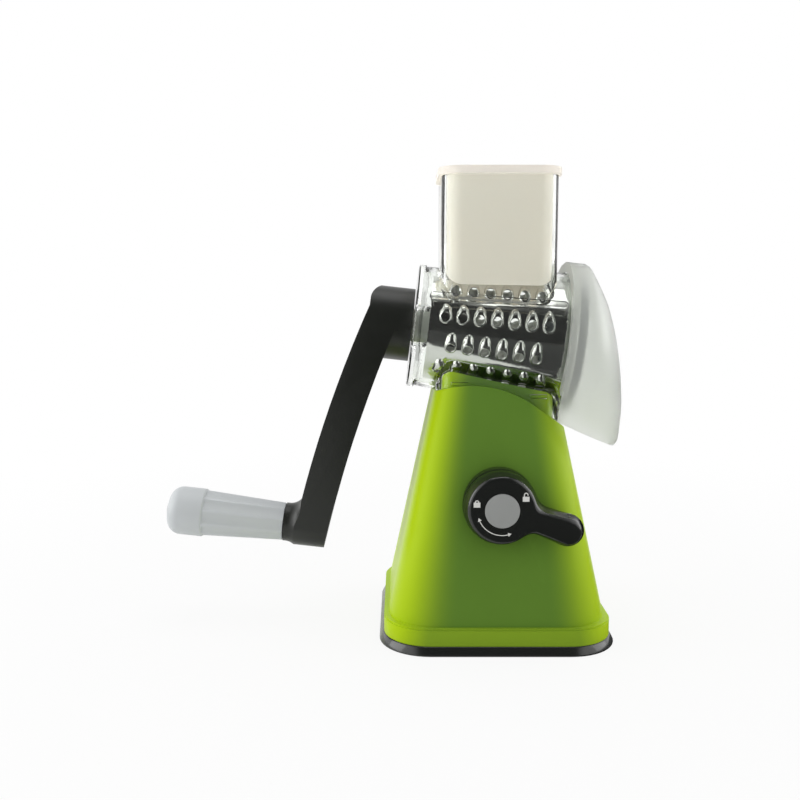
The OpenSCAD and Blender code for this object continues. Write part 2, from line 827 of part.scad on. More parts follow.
// Arm seen along the axis: two circles and their tangents
module arm_outline(inset) {
    r1 = crank_hub_r - inset;
    r2 = boss_end_r - inset;
    b = asin((r1 - r2) / crank_throw);
    circle(r1);
    translate([crank_throw, 0]) circle(r2);
    polygon([
        [r1 * sin(b), r1 * cos(b)], [crank_throw + r2 * sin(b), r2 * cos(b)],
        [crank_throw + r2 * sin(b), -r2 * cos(b)], [r1 * sin(b), -r1 * cos(b)]
    ]);
}

module crank_arm() color(black) on_axis() difference() {
    union() {
        rod(hub_end_s, hub_face_s, crank_hub_r);
        intersection() {
            translate([0, 0, -far]) linear_extrude(far + hub_face_s - 4) arm_outline(0);
            union() {
                arm_slab();
                // neck that the grip runs against, with a hollow fillet
                translate([crank_throw, 0, 0]) rotate_extrude() polygon(concat(
                    [[0, neck_root_s], [crank_hub_r, neck_root_s]],
                    arc(grip_neck_r + neck_fillet_r, neck_end_s + 1.5, neck_fillet_r, 110, 180, 8),
                    [[grip_neck_r, neck_end_s], [0, neck_end_s]]
                ));
            }
        }
    }
    // shaft, its screw and the screw's counterbore
    rod(hub_end_s, 0, journal_r);
    rod(-far, 0, crank_screw_r);
    rod(-far, crank_screw_s, crank_screw_head_r + 0.2);
    // hole for the grip's axle
    translate([crank_throw, 0, 0]) rod(-far, axle_in_s, axle_r);
    arm_pocket();
}

// The arm is cored out from its inner side, and two ribs cross the pocket
module arm_pocket() {
    difference() {
        intersection() {
            translate([0, 0, arm_wall]) arm_slab();
            translate([0, 0, -far]) linear_extrude(far) arm_outline(arm_wall);
            translate([pocket_d0, -far / 2, -far]) cube([pocket_d1 - pocket_d0, far, far]);
        }
        for (d = arm_rib_d) translate([d, -far / 2, -far]) cube([arm_rib_t, far, far]);
    }
}

module crank_screw() color(steel) on_axis() difference() {
    union() {
        rod(crank_screw_s, hub_end_s + 8, crank_screw_r);
        rod(crank_screw_s - crank_screw_head_h, crank_screw_s, crank_screw_head_r);
    }
    translate([0, 0, crank_screw_s - crank_screw_head_h]) cross_recess(5.2, 1.5);
}

module grip() color(grey) on_grip() difference() {
    rotate_extrude() polygon(concat(
        [[axle_r + run, grip_s0], [grip_neck_r, grip_s0], [grip_step_r, grip_step_s + 0.6]],
        [[grip_r, grip_step_s], [grip_r, grip_end_s + grip_round + 1.8]],
        arc(grip_r - grip_round, grip_end_s + grip_round + 0.2, grip_round, 0, -88, 10),
        [[axle_head_r + 0.3, grip_end_s], [axle_head_r + 0.3, grip_end_s + axle_head_t]],
        [[axle_r + run, grip_end_s + axle_head_t]]
    ));
    // flutes lean with the taper and end just short of the step
    lean = atan((grip_step_r - grip_neck_r) / (grip_s0 - grip_step_s));
    for (i = [0:grip_flutes - 1]) rotate([0, 0, (i + 0.5) * 360 / grip_flutes])
        translate([grip_neck_r - flute_depth + flute_r, 0, grip_s0]) rotate([0, -lean, 0])
            translate([0, 0, -flute_l]) cylinder(h = 2 * flute_l, r = flute_r);
}

module grip_axle() color(steel) on_grip() {
    rod(grip_end_s + 2, axle_in_s - 1, axle_r);
    rod(grip_end_s - 0.3, grip_end_s + axle_head_t - 0.3, axle_head_r);
}

// ---------- pusher and spout ----------

// Hollow block with a flange round its open top and a floor curved to the drum
module pusher() color(frosted) translate([hopper_x, 0, 0]) difference() {
    union() {
        rprism(pusher_w, pusher_d, pusher_r, pusher_z0, lid_z);
        rprism(hopper_w + 2 * lid_over, hopper_d + 2 * lid_over, hopper_r + lid_over,
               lid_z, lid_z + lid_t);
    }
    translate([-hopper_x, 0, 0]) pusher_cone(pusher_lift_r);
    difference() {
        rprism(pusher_w - 2 * pusher_wall, pusher_d - 2 * pusher_wall, pusher_r - pusher_wall,
               axis_z, lid_z + lid_t + eps);
        translate([-hopper_x, 0, 0]) pusher_cone(pusher_lift_r + pusher_wall);
    }
}

module pusher_cone(grow) on_axis() cone(-60, 60, drum_r(-60) + grow, drum_r(60) + grow);

// Form of the spout: a collar that runs out into a hood which leans away as it goes down
module spout_form(inset, over) {
    last = spout_slices[len(spout_slices) - 1];
    hull() {
        rod(spout_s0 - inset, spout_s1, spout_r - inset, $fn = 64);
        rod(spout_s1, spout_s1 + spout_round - inset, spout_r - 4.6 - inset, $fn = 64);
        for (slice = spout_slices) spout_slice(slice[0], slice[1], slice[2] - inset);
        spout_slice(last[0] + over, last[1], last[2] - inset);
    }
}

module spout_slice(d, s, r) {
    translate([d, 0, s]) rotate([0, 90, 0]) cylinder(h = thin, r = r, $fn = 64);
}

module spout() color(frosted) on_axis() difference() {
    union() {
        difference() {
            spout_form(0, 0);
            spout_form(spout_wall, 1);
            translate([-far, -far, spout_s0 - 2 * far]) cube(2 * far);
        }
        // plate that snaps over the flange of the chamber
        difference() {
            intersection() {
                spout_form(spout_wall / 2, 0);
                translate([-far, -far, spout_s0])
                    cube([far + spout_plate_d, 2 * far, spout_plate_s - spout_s0]);
            }
            rod(0, far, flange_r + eps);
        }
    }
    // slanting lower edge
    translate([spout_edge[0], 0, spout_edge[1]]) rotate([0, spout_edge_angle, 0])
        translate([0, -far, -far]) cube(2 * far);
}

base_shell();
base_plate();
base_ring();
base_screws();
suction_cup();
pull_rod();
release_spring();
cam_yoke();
follower_pin();
cam_shaft();
lever_bush();
lever();
lever_screw();
lever_cap();
chamber();
end_bush();
drum_shell();
drum_hub();
drum_rim();
drive_shaft();
crank_arm();
crank_screw();
grip();
grip_axle();
pusher();
spout();
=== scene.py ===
"""Looks of a hand-cranked drum grater on a suction foot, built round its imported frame.

Every CAD node keeps its place. Rigid pieces are dressed as smooth copies with rounded edges, and
the pieces that repeat a form, such as the drum's teeth and the release spring, are made by
Geometry Nodes trees that this script builds.
"""

import json
import logging
import math
from dataclasses import dataclass
from enum import Enum
from typing import Any, Iterable, Optional, Sequence

import bmesh
import bpy
from mathutils import Matrix, Vector

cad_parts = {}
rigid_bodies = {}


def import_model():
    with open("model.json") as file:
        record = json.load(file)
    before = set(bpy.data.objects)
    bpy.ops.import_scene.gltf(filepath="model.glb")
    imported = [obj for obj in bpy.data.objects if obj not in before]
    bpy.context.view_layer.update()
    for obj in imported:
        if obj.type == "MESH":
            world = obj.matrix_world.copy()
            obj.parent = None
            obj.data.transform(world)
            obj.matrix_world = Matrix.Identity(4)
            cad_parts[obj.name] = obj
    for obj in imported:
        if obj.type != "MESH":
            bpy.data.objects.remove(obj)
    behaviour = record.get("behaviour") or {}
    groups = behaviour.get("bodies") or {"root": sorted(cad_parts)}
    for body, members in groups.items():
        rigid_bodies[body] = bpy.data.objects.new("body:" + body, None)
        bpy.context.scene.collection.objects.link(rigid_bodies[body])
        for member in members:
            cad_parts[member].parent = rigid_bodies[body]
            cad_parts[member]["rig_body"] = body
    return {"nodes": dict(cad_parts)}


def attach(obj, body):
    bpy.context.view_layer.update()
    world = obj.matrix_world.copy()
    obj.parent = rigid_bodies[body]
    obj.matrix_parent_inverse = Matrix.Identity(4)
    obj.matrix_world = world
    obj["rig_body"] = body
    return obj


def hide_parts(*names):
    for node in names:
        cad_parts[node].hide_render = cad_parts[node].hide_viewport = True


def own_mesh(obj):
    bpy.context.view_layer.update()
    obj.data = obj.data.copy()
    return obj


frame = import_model()

log = logging.getLogger("grater")
MM = 0.001
WELD = 0.002 * MM
SKIN_WELD = 0.01 * MM
FLAT_ANGLE = 0.4
HALVINGS = 30
AXIS_HEIGHT = 162.75 * MM
AXIS_TILT = math.radians(6.4)
LEVER_HEIGHT = 76.0 * MM
Colour = tuple[float, float, float, float]
Point = tuple[float, float, float]
Pair = tuple[float, float]
Climb = tuple[float, float, float]
WHITE: Colour = (1.0, 1.0, 1.0, 1.0)


def srgb(red: int, green: int, blue: int) -> Colour:
    """Turn an 8-bit display colour into the linear colour that a shader takes.

    Args:
        red: Red from 0 to 255.
        green: Green from 0 to 255.
        blue: Blue from 0 to 255.

    Returns:
        The linear colour with an alpha of 1.
    """
    def channel(value: int) -> float:
        """Linear value of one channel."""
        share = value / 255
        return share / 12.92 if share <= 0.04045 else ((share + 0.055) / 1.055) ** 2.4

    return channel(red), channel(green), channel(blue), 1.0


def shade(colour: Colour, factor: float) -> Colour:
    """Lighter or darker version of a colour.

    Args:
        colour: The linear colour.
        factor: What its three channels are multiplied by.

    Returns:
        The new colour with the same alpha.
    """
    return tuple(min(1.0, channel * factor) for channel in colour[:3]) + (colour[3],)


def axis_frame() -> Matrix:
    """Matrix from the drum axis's frame, with X down and Z towards the outlet, to the row frame."""
    return (Matrix.Translation((0, 0, AXIS_HEIGHT))
            @ Matrix.Rotation(math.pi / 2 + AXIS_TILT, 4, "Y"))


def lever_frame() -> Matrix:
    """Matrix from the lever's frame, with Y up and Z to the front, to the row frame."""
    return Matrix.Translation((0, 0, LEVER_HEIGHT)) @ Matrix.Rotation(math.pi / 2, 4, "X")


def spline(points: Sequence[Pair], place: float) -> float:
    """Height of a smooth curve through points that run from left to right.

    Args:
        points: Places and heights.
        place: Where the curve is read; beyond the ends it stays level.

    Returns:
        The height there.
    """
    if place <= points[0][0]:
        return points[0][1]
    if place >= points[-1][0]:
        return points[-1][1]
    last = len(points) - 1
    left = max(i for i in range(last) if points[i][0] <= place)

    def slope(i: int) -> float:
        """Slope at a point, from its neighbours."""
        before, after = points[max(i - 1, 0)], points[min(i + 1, last)]
        return (after[1] - before[1]) / (after[0] - before[0])

    (x0, y0), (x1, y1) = points[left], points[left + 1]
    step = x1 - x0
    t = (place - x0) / step
    return ((2 * t**3 - 3 * t**2 + 1) * y0 + (t**3 - 2 * t**2 + t) * step * slope(left)
            + (3 * t**2 - 2 * t**3) * y1 + (t**3 - t**2) * step * slope(left + 1))


# ---------------------------------------------------------------- node trees


class Signal:
    """A number socket in a node tree; arithmetic on it adds Math nodes."""

    def __init__(self, tree: bpy.types.NodeTree, socket: bpy.types.NodeSocket) -> None:
        """Wrap an output socket of tree."""
        self.tree = tree
        self.socket = socket

    def math(self, operation: str, *others: Any, swapped: bool = False) -> "Signal":
        """Add a Math node that takes this signal and up to two others.

        Args:
            operation: Name of the Math operation.
            others: Numbers or signals for the other inputs.
            swapped: Whether this signal goes second.

        Returns:
            The result as a signal.
        """
        node = self.tree.nodes.new("ShaderNodeMath")
        node.operation = operation
        values = [self, *others]
        if swapped:
            values[0], values[1] = values[1], values[0]
        for socket, value in zip(node.inputs, values):
            plug(self.tree, socket, value)
        return Signal(self.tree, node.outputs[0])

    def __add__(self, other: Any) -> "Signal":
        """Sum."""
        return self.math("ADD", other)

    __radd__ = __add__

    def __sub__(self, other: Any) -> "Signal":
        """Difference."""
        return self.math("SUBTRACT", other)

    def __rsub__(self, other: Any) -> "Signal":
        """Difference with this signal taken away."""
        return self.math("SUBTRACT", other, swapped=True)

    def __mul__(self, other: Any) -> "Signal":
        """Product."""
        return self.math("MULTIPLY", other)

    __rmul__ = __mul__

    def __truediv__(self, other: Any) -> "Signal":
        """Quotient."""
        return self.math("DIVIDE", other)

    def __mod__(self, other: Any) -> "Signal":
        """Remainder, never negative."""
        return self.math("FLOORED_MODULO", other)

    def __gt__(self, other: Any) -> "Signal":
        """1 where this signal is the larger, and 0 elsewhere."""
        return self.math("GREATER_THAN", other)

    def __lt__(self, other: Any) -> "Signal":
        """1 where this signal is the smaller, and 0 elsewhere."""
        return self.math("LESS_THAN", other)

    def larger(self, other: Any) -> "Signal":
        """The larger of two signals."""
        return self.math("MAXIMUM", other)

    def power(self, exponent: float) -> "Signal":
        """This signal to a power."""
        return self.math("POWER", exponent)


def plug(tree: bpy.types.NodeTree, socket: bpy.types.NodeSocket, value: Any) -> None:
    """Link a socket or a signal to an input socket, or set its value.

    Args:
        tree: The tree that both belong to.
        socket: The input socket.
        value: A signal, an output socket or a plain value.
    """
    if isinstance(value, Signal):
        tree.links.new(value.socket, socket)
    elif isinstance(value, bpy.types.NodeSocket):
        tree.links.new(value, socket)
    else:
        socket.default_value = value


def pick(sockets: Any, key: Any) -> bpy.types.NodeSocket:
    """Find one of a node's sockets.

    Args:
        sockets: The node's inputs or outputs.
        key: The socket's identifier, its name or its number.

    Returns:
        The socket.
    """
    named = [socket for socket in sockets if socket.identifier == key]
    return named[0] if named else sockets[key]


class Tree:
    """A node tree under construction."""

    def __init__(self, tree: bpy.types.NodeTree) -> None:
        """Take an empty node tree."""
        self.tree = tree

    def node(self, kind: str, settings: Optional[dict[str, Any]] = None,
             inputs: Optional[dict[Any, Any]] = None) -> bpy.types.Node:
        """Add a node.

        Args:
            kind: The node's type.
            settings: Its properties, which are set first.
            inputs: Values or links of its input sockets, by identifier, name or number.

        Returns:
            The new node.
        """
        node = self.tree.nodes.new(kind)
        for name, value in (settings or {}).items():
            setattr(node, name, value)
        for key, value in (inputs or {}).items():
            plug(self.tree, pick(node.inputs, key), value)
        return node

    def signal(self, node: bpy.types.Node, output: Any = 0) -> Signal:
        """One output of a node as a signal."""
        return Signal(self.tree, pick(node.outputs, output))

    def split(self, vector: bpy.types.NodeSocket) -> tuple[Signal, Signal, Signal]:
        """The three parts of a vector as signals."""
        parts = self.node("ShaderNodeSeparateXYZ", None, {0: vector})
        return self.signal(parts, 0), self.signal(parts, 1), self.signal(parts, 2)

    def rise(self, value: Signal, low: float, high: float, top: float = 1.0,
             bottom: float = 0.0) -> Signal:
        """Climb smoothly while a signal passes from one value to another.

        Args:
            value: The signal.
            low: Where the climb starts.
            high: Where it ends.
            top: Level after it.
            bottom: Level before it.

        Returns:
            The level as a signal.
        """
        ramp = self.node("ShaderNodeMapRange", {"interpolation_type": "SMOOTHSTEP"}, {
            "Value": value, "From Min": low, "From Max": high, "To Min": bottom, "To Max": top})
        return self.signal(ramp)

    def sight(self) -> tuple[Signal, Signal, Signal]:
        """Tell what is seen straight or through clear parts from what is seen by reflection.

        Returns:
            1 for rays that reach the eye with no reflection, 1 for mirrored rays, and 1 for
            those of them that were mirrored inside a clear wall, past one or two surfaces.
        """
        path = self.node("ShaderNodeLightPath")
        mirrored = self.signal(path, "Glossy Depth") > 0.5
        direct = self.signal(path, "Is Camera Ray").larger(
            self.signal(path, "Is Transmission Ray"))
        straight = (1 - mirrored) * (self.signal(path, "Diffuse Depth") < 0.5)
        through = self.signal(path, "Transmission Depth")
        inside = mirrored * (through > 0.5) * (through < 2.5)
        return direct * straight, mirrored, inside


class Recipe(Tree):
    """A material's node tree, with the helpers that the finishes share."""

    def __init__(self, name: str) -> None:
        """Start a material with an output and a Principled shader.

        Args:
            name: The finish's name.
        """
        self.material = bpy.data.materials.new("look_" + name)
        self.material.use_nodes = True
        super().__init__(self.material.node_tree)
        self.tree.nodes.clear()
        self.output = self.node("ShaderNodeOutputMaterial")
        self.shader = self.node("ShaderNodeBsdfPrincipled")
        self.tree.links.new(self.shader.outputs[0], self.output.inputs["Surface"])
        self.coordinates = self.node("ShaderNodeTexCoord").outputs["Object"]

    def set(self, **values: Any) -> None:
        """Set or link the Principled shader's sockets; an underscore stands for a space."""
        for name, value in values.items():
            plug(self.tree, self.shader.inputs[name.replace("_", " ")], value)

    def noise(self, size: float, detail: float = 2.0, stretch: Point = (1, 1, 1)) -> Signal:
        """Add fractal noise on Object coordinates.

        Args:
            size: Size of its largest lumps in metres.
            detail: How many finer octaves it has.
            stretch: How much longer the lumps are along each axis.

        Returns:
            The noise, from 0 to 1.
        """
        placed = self.node("ShaderNodeMapping", {"vector_type": "TEXTURE"}, {
            "Vector": self.coordinates, "Scale": stretch})
        texture = self.node("ShaderNodeTexNoise", {"noise_dimensions": "3D"}, {
            "Vector": placed.outputs[0], "Scale": 1 / size, "Detail": detail})
        return self.signal(texture, 0)

    def blend(self, factor: Any, first: Any, second: Any) -> bpy.types.NodeSocket:
        """Mix two colours.

        Args:
            factor: Share of the second colour.
            first: The first colour or its socket.
            second: The second colour or its socket.

        Returns:
            The mixed colour's socket.
        """
        mix = self.node("ShaderNodeMix", {"data_type": "RGBA"}, {
            "Factor_Float": factor, "A_Color": first, "B_Color": second})
        return pick(mix.outputs, "Result_Color")

    def mottle(self, colour: Colour, size: float, amount: float) -> bpy.types.NodeSocket:
        """A colour that drifts a little lighter and darker.

        Args:
            colour: The mean colour.
            size: Size of the drifts in metres.
            amount: How far it drifts, as a share of the colour.

        Returns:
            The colour's socket.
        """
        return self.blend(self.noise(size), shade(colour, 1 - amount), shade(colour, 1 + amount))

    def relief(self, height: Signal, depth: float) -> bpy.types.NodeSocket:
        """Bump from a height signal.

        Args:
            height: The height, from 0 to 1.
            depth: The depth of the relief in metres.

        Returns:
            The bent normal's socket.
        """
        bump = self.node("ShaderNodeBump", None, {
            "Height": height, "Distance": depth, "Strength": 1.0})
        return bump.outputs[0]

    def mix_in(self, share: Signal, other: bpy.types.Node) -> None:
        """Mix another shader into the Principled one.

        Args:
            share: The other shader's share.
            other: Its node.
        """
        mixed = self.node("ShaderNodeMixShader", None, {
            "Fac": share, 1: self.shader.outputs[0], 2: other.outputs[0]})
        plug(self.tree, self.output.inputs["Surface"], mixed.outputs[0])


class GeometryRecipe(Tree):
    """A Geometry Nodes tree whose named inputs are set on the modifier."""

    def __init__(self, name: str, numbers: dict[str, float]) -> None:
        """Start a tree with a geometry input and output.

        Args:
            name: The tree's name.
            numbers: Its number inputs and the values they take.
        """
        super().__init__(bpy.data.node_groups.new(name, "GeometryNodeTree"))
        face = self.tree.interface
        face.new_socket("Geometry", in_out="INPUT", socket_type="NodeSocketGeometry")
        face.new_socket("Geometry", in_out="OUTPUT", socket_type="NodeSocketGeometry")
        self.identifiers = {
            key: face.new_socket(key, in_out="INPUT", socket_type="NodeSocketFloat").identifier
            for key in numbers}
        self.numbers = numbers
        self.start = self.node("NodeGroupInput")
        self.end = self.node("NodeGroupOutput")

    def input(self, name: str) -> Signal:
        """A number input as a signal."""
        return self.signal(self.start, name)

    def combine(self, x: Any, y: Any, z: Any) -> bpy.types.NodeSocket:
        """A vector's socket from three numbers or signals."""
        return self.node("ShaderNodeCombineXYZ", None, {"X": x, "Y": y, "Z": z}).outputs[0]

    def scatter(self, count: int, x: Any, y: Any, instance: bpy.types.NodeSocket,
                chosen: Any = True) -> bpy.types.NodeSocket:
        """Set copies of a form out on a plane.

        Args:
            count: How many places there are.
            x: Place of each along X, from its index.
            y: Place of each along Y.
            instance: The form's socket.
            chosen: Which places get a copy.

        Returns:
            The socket of the copies.
        """
        points = self.node("GeometryNodePoints", None, {"Count": count})
        moved = self.node("GeometryNodeSetPosition", None, {
            "Geometry": points.outputs[0], "Position": self.combine(x, y, 0.0)})
        return self.node("GeometryNodeInstanceOnPoints", None, {
            "Points": moved.outputs[0], "Selection": chosen, "Instance": instance}).outputs[0]

    def grow(self, geometry: bpy.types.NodeSocket, finish: "Finish",
             seed: Optional[bpy.types.Mesh] = None) -> bpy.types.Mesh:
        """Close the tree and turn its result into a plain mesh.

        Args:
            geometry: The socket that holds the result.
            finish: The finish that its faces take.
            seed: The mesh that the tree starts from.

        Returns:
            The plain mesh.
        """
        whole = self.node("GeometryNodeRealizeInstances", None, {0: geometry})
        dressed = self.node("GeometryNodeSetMaterial", None, {
            "Geometry": whole.outputs[0], "Material": finish.material()})
        plug(self.tree, self.end.inputs[0], dressed.outputs[0])
        host = bpy.data.objects.new(self.tree.name, seed or bpy.data.meshes.new(self.tree.name))
        bpy.context.scene.collection.objects.link(host)
        modifier = host.modifiers.new("nodes", "NODES")
        modifier.node_group = self.tree
        for key, value in self.numbers.items():
            modifier[self.identifiers[key]] = value
        evaluated = host.evaluated_get(bpy.context.evaluated_depsgraph_get())
        mesh = bpy.data.meshes.new_from_object(evaluated)
        host.modifiers.clear()
        bpy.data.objects.remove(host)
        return mesh


# ---------------------------------------------------------------- finishes


@dataclass(frozen=True)
class PaintedSideLight:
    """Painted side light: a lighter colour painted towards the left and right sides of the tapered
    shell, where the side lamps catch it, and a painted lighter band at its foot.

    The spread is measured in half widths of the shell, of which each height has its own.
    """

    colour: Colour
    half_width: float = 61 * MM
    taper: float = 0.21
    shift: float = 0.03
    spread: Pair = (0.42, 1.12)
    band_top: float = 14 * MM
    band_share: float = 0.28

    def share(self, recipe: Recipe) -> Signal:
        """Tell how much of the colour each point takes.

        Args:
            recipe: The material that the nodes go into.

        Returns:
            The share, from 0 over the middle to 1 at the sides.
        """
        across, _, height = recipe.split(recipe.coordinates)
        half = self.half_width - height * self.taper
        off = (across / half - self.shift).math("ABSOLUTE")
        band = (height < self.band_top) * self.band_share
        return recipe.rise(off, *self.spread).larger(band)


@dataclass(frozen=True)
class MouldedPlastic:
    """Opaque moulded plastic or rubber with a fine grain and faint handling marks."""

    name: str
    colour: Colour
    roughness: float = 0.35
    coat: float = 0.0
    grain_size: float = 0.5 * MM
    grain_depth: float = 0.01 * MM
    drift: float = 0.05
    drift_size: float = 22 * MM
    smudge: float = 0.06
    smudge_size: float = 9 * MM
    coat_roughness: float = 0.06
    shine: Colour = WHITE
    ior: float = 1.45
    painted_side_light: Optional[PaintedSideLight] = None

    def build(self) -> bpy.types.Material:
        """Make the material.

        Returns:
            The material.
        """
        recipe = Recipe(self.name)
        grain = recipe.noise(self.grain_size, 3)
        smudges = recipe.noise(self.smudge_size, 4)
        colour = recipe.mottle(self.colour, self.drift_size, self.drift)
        # Painted side light: the shell's sides and band are mixed towards a lighter colour.
        if self.painted_side_light:
            colour = recipe.blend(self.painted_side_light.share(recipe), colour, self.painted_side_light.colour)
        recipe.set(
            Base_Color=colour,
            Roughness=self.roughness + (smudges - 0.5) * (2 * self.smudge),
            Normal=recipe.relief(grain, self.grain_depth),
            Coat_Weight=self.coat,
            Coat_Roughness=self.coat_roughness,
            Specular_Tint=self.shine,
            IOR=self.ior,
        )
        return recipe.material


@dataclass(frozen=True)
class ClearPlastic:
    """Water-clear moulded plastic; its shadow is light, as such a thin wall's is."""

    name: str
    tint: Colour
    roughness: float = 0.03
    ior: float = 1.3
    swirl_size: float = 14 * MM
    swirl_depth: float = 0.08 * MM
    scuff_size: float = 2.5 * MM
    scuff_stretch: Point = (1, 1, 5)
    scuff_rarity: float = 6.0
    scuffing: float = 0.18
    shadow_tint: float = 0.97

    def build(self) -> bpy.types.Material:
        """Make the material.

        Returns:
            The material.
        """
        recipe = Recipe(self.name)
        swirl = recipe.noise(self.swirl_size, 3)
        scuffs = recipe.noise(self.scuff_size, 4, self.scuff_stretch)
        recipe.set(
            Base_Color=self.tint,
            Roughness=self.roughness + scuffs.power(self.scuff_rarity) * self.scuffing,
            Normal=recipe.relief(swirl, self.swirl_depth),
            Transmission_Weight=1.0,
            IOR=self.ior,
        )
        path = recipe.node("ShaderNodeLightPath")
        unseen = recipe.signal(path, "Is Shadow Ray").larger(
            recipe.signal(path, "Is Diffuse Ray"))
        recipe.mix_in(unseen, recipe.node("ShaderNodeBsdfTransparent", None, {
            "Color": shade(self.tint, self.shadow_tint)}))
        return recipe.material


@dataclass(frozen=True)
class FrostedPlastic:
    """Milky plastic that lets blurred light and dark through; where rim_shade is set, shade is
    painted along the edges that are seen edge-on.
    """

    name: str
    colour: Colour
    clearness: float
    roughness: float
    rim_shade: float = 0.0
    rim_shade_level: float = 0.2
    rim_narrowness: float = 5.0
    ior: float = 1.45
    drift: float = 0.02
    drift_size: float = 25 * MM
    cloudiness: float = 0.08
    cloud_size: float = 18 * MM
    frost_size: float = 0.35 * MM
    frost_depth: float = 0.012 * MM
    shadow_share: float = 0.75
    shadow_tint: float = 0.95

    def build(self) -> bpy.types.Material:
        """Make the material.

        Returns:
            The material.
        """
        recipe = Recipe(self.name)
        clouds = recipe.noise(self.cloud_size, 3)
        frost = recipe.noise(self.frost_size, 2)
        weight = recipe.node("ShaderNodeLayerWeight", None, {"Blend": 0.5})
        # Painted shade: the colour darkens towards faces seen edge-on, by rim_shade.
        rim = recipe.signal(weight, "Facing").power(self.rim_narrowness) * self.rim_shade
        body = recipe.mottle(self.colour, self.drift_size, self.drift)
        recipe.set(
            Base_Color=recipe.blend(rim, body, shade(self.colour, self.rim_shade_level)),
            Roughness=self.roughness + (clouds - 0.5) * self.cloudiness,
            Normal=recipe.relief(frost, self.frost_depth),
            Transmission_Weight=self.clearness,
            IOR=self.ior,
        )
        path = recipe.node("ShaderNodeLightPath")
        unseen = recipe.signal(path, "Is Shadow Ray") * self.shadow_share
        recipe.mix_in(unseen, recipe.node("ShaderNodeBsdfTransparent", None, {
            "Color": shade(self.colour, self.shadow_tint)}))
        return recipe.material


@dataclass(frozen=True)
class Steel:
    """Steel with fine lines that run round an axis or across it."""

    name: str
    colour: Colour = (0.62, 0.63, 0.61, 1.0)
    roughness: float = 0.12
    line_size: float = 0.5 * MM
    line_stretch: Point = (1, 1, 1)
    line_depth: float = 0.003 * MM
    lining: float = 0.06
    smudge: float = 0.08
    smudge_size: float = 11 * MM
    drift: float = 0.06
    drift_size: float = 16 * MM
    inner_roughness: float = 0.0
    inner_dullness: float = 0.7

    def build(self) -> bpy.types.Material:
        """Make the material.

        Returns:
            The material.
        """
        recipe = Recipe(self.name)
        lines = recipe.noise(self.line_size, 3, self.line_stretch)
        smudges = recipe.noise(self.smudge_size, 3)
        roughness = (self.roughness + (smudges - 0.5) * self.smudge
                     + (lines - 0.5) * self.lining)
        metallic: Any = 1.0
        if self.inner_roughness:
            inner = self._inwards(recipe)
            roughness = roughness + inner * self.inner_roughness
            metallic = 1 - inner * self.inner_dullness
        recipe.set(
            Base_Color=recipe.mottle(self.colour, self.drift_size, self.drift),
            Metallic=metallic,
            Roughness=roughness,
            Normal=recipe.relief(lines, self.line_depth),
        )
        return recipe.material

    @staticmethod
    def _inwards(recipe: Recipe) -> Signal:
        """Tell the drum's inner faces from its outer ones.

        Args:
            recipe: The material that the nodes go into.

        Returns:
            1 on faces that look towards the drum's axis, and 0 elsewhere.
        """
        def combine(operation: str, first: Any, second: Any) -> bpy.types.Node:
            """Vector Math node that combines two vectors."""
            return recipe.node("ShaderNodeVectorMath", {"operation": operation},
                               {0: first, 1: second})

        axis = (math.cos(AXIS_TILT), 0.0, -math.sin(AXIS_TILT))
        centred = combine("SUBTRACT", recipe.coordinates, (0.0, 0.0, AXIS_HEIGHT)).outputs[0]
        along = combine("PROJECT", centred, axis).outputs[0]
        outwards = combine("SUBTRACT", centred, along).outputs[0]
        normal = recipe.node("ShaderNodeNewGeometry").outputs["True Normal"]
        return recipe.signal(combine("DOT_PRODUCT", outwards, normal), "Value") < 0.0


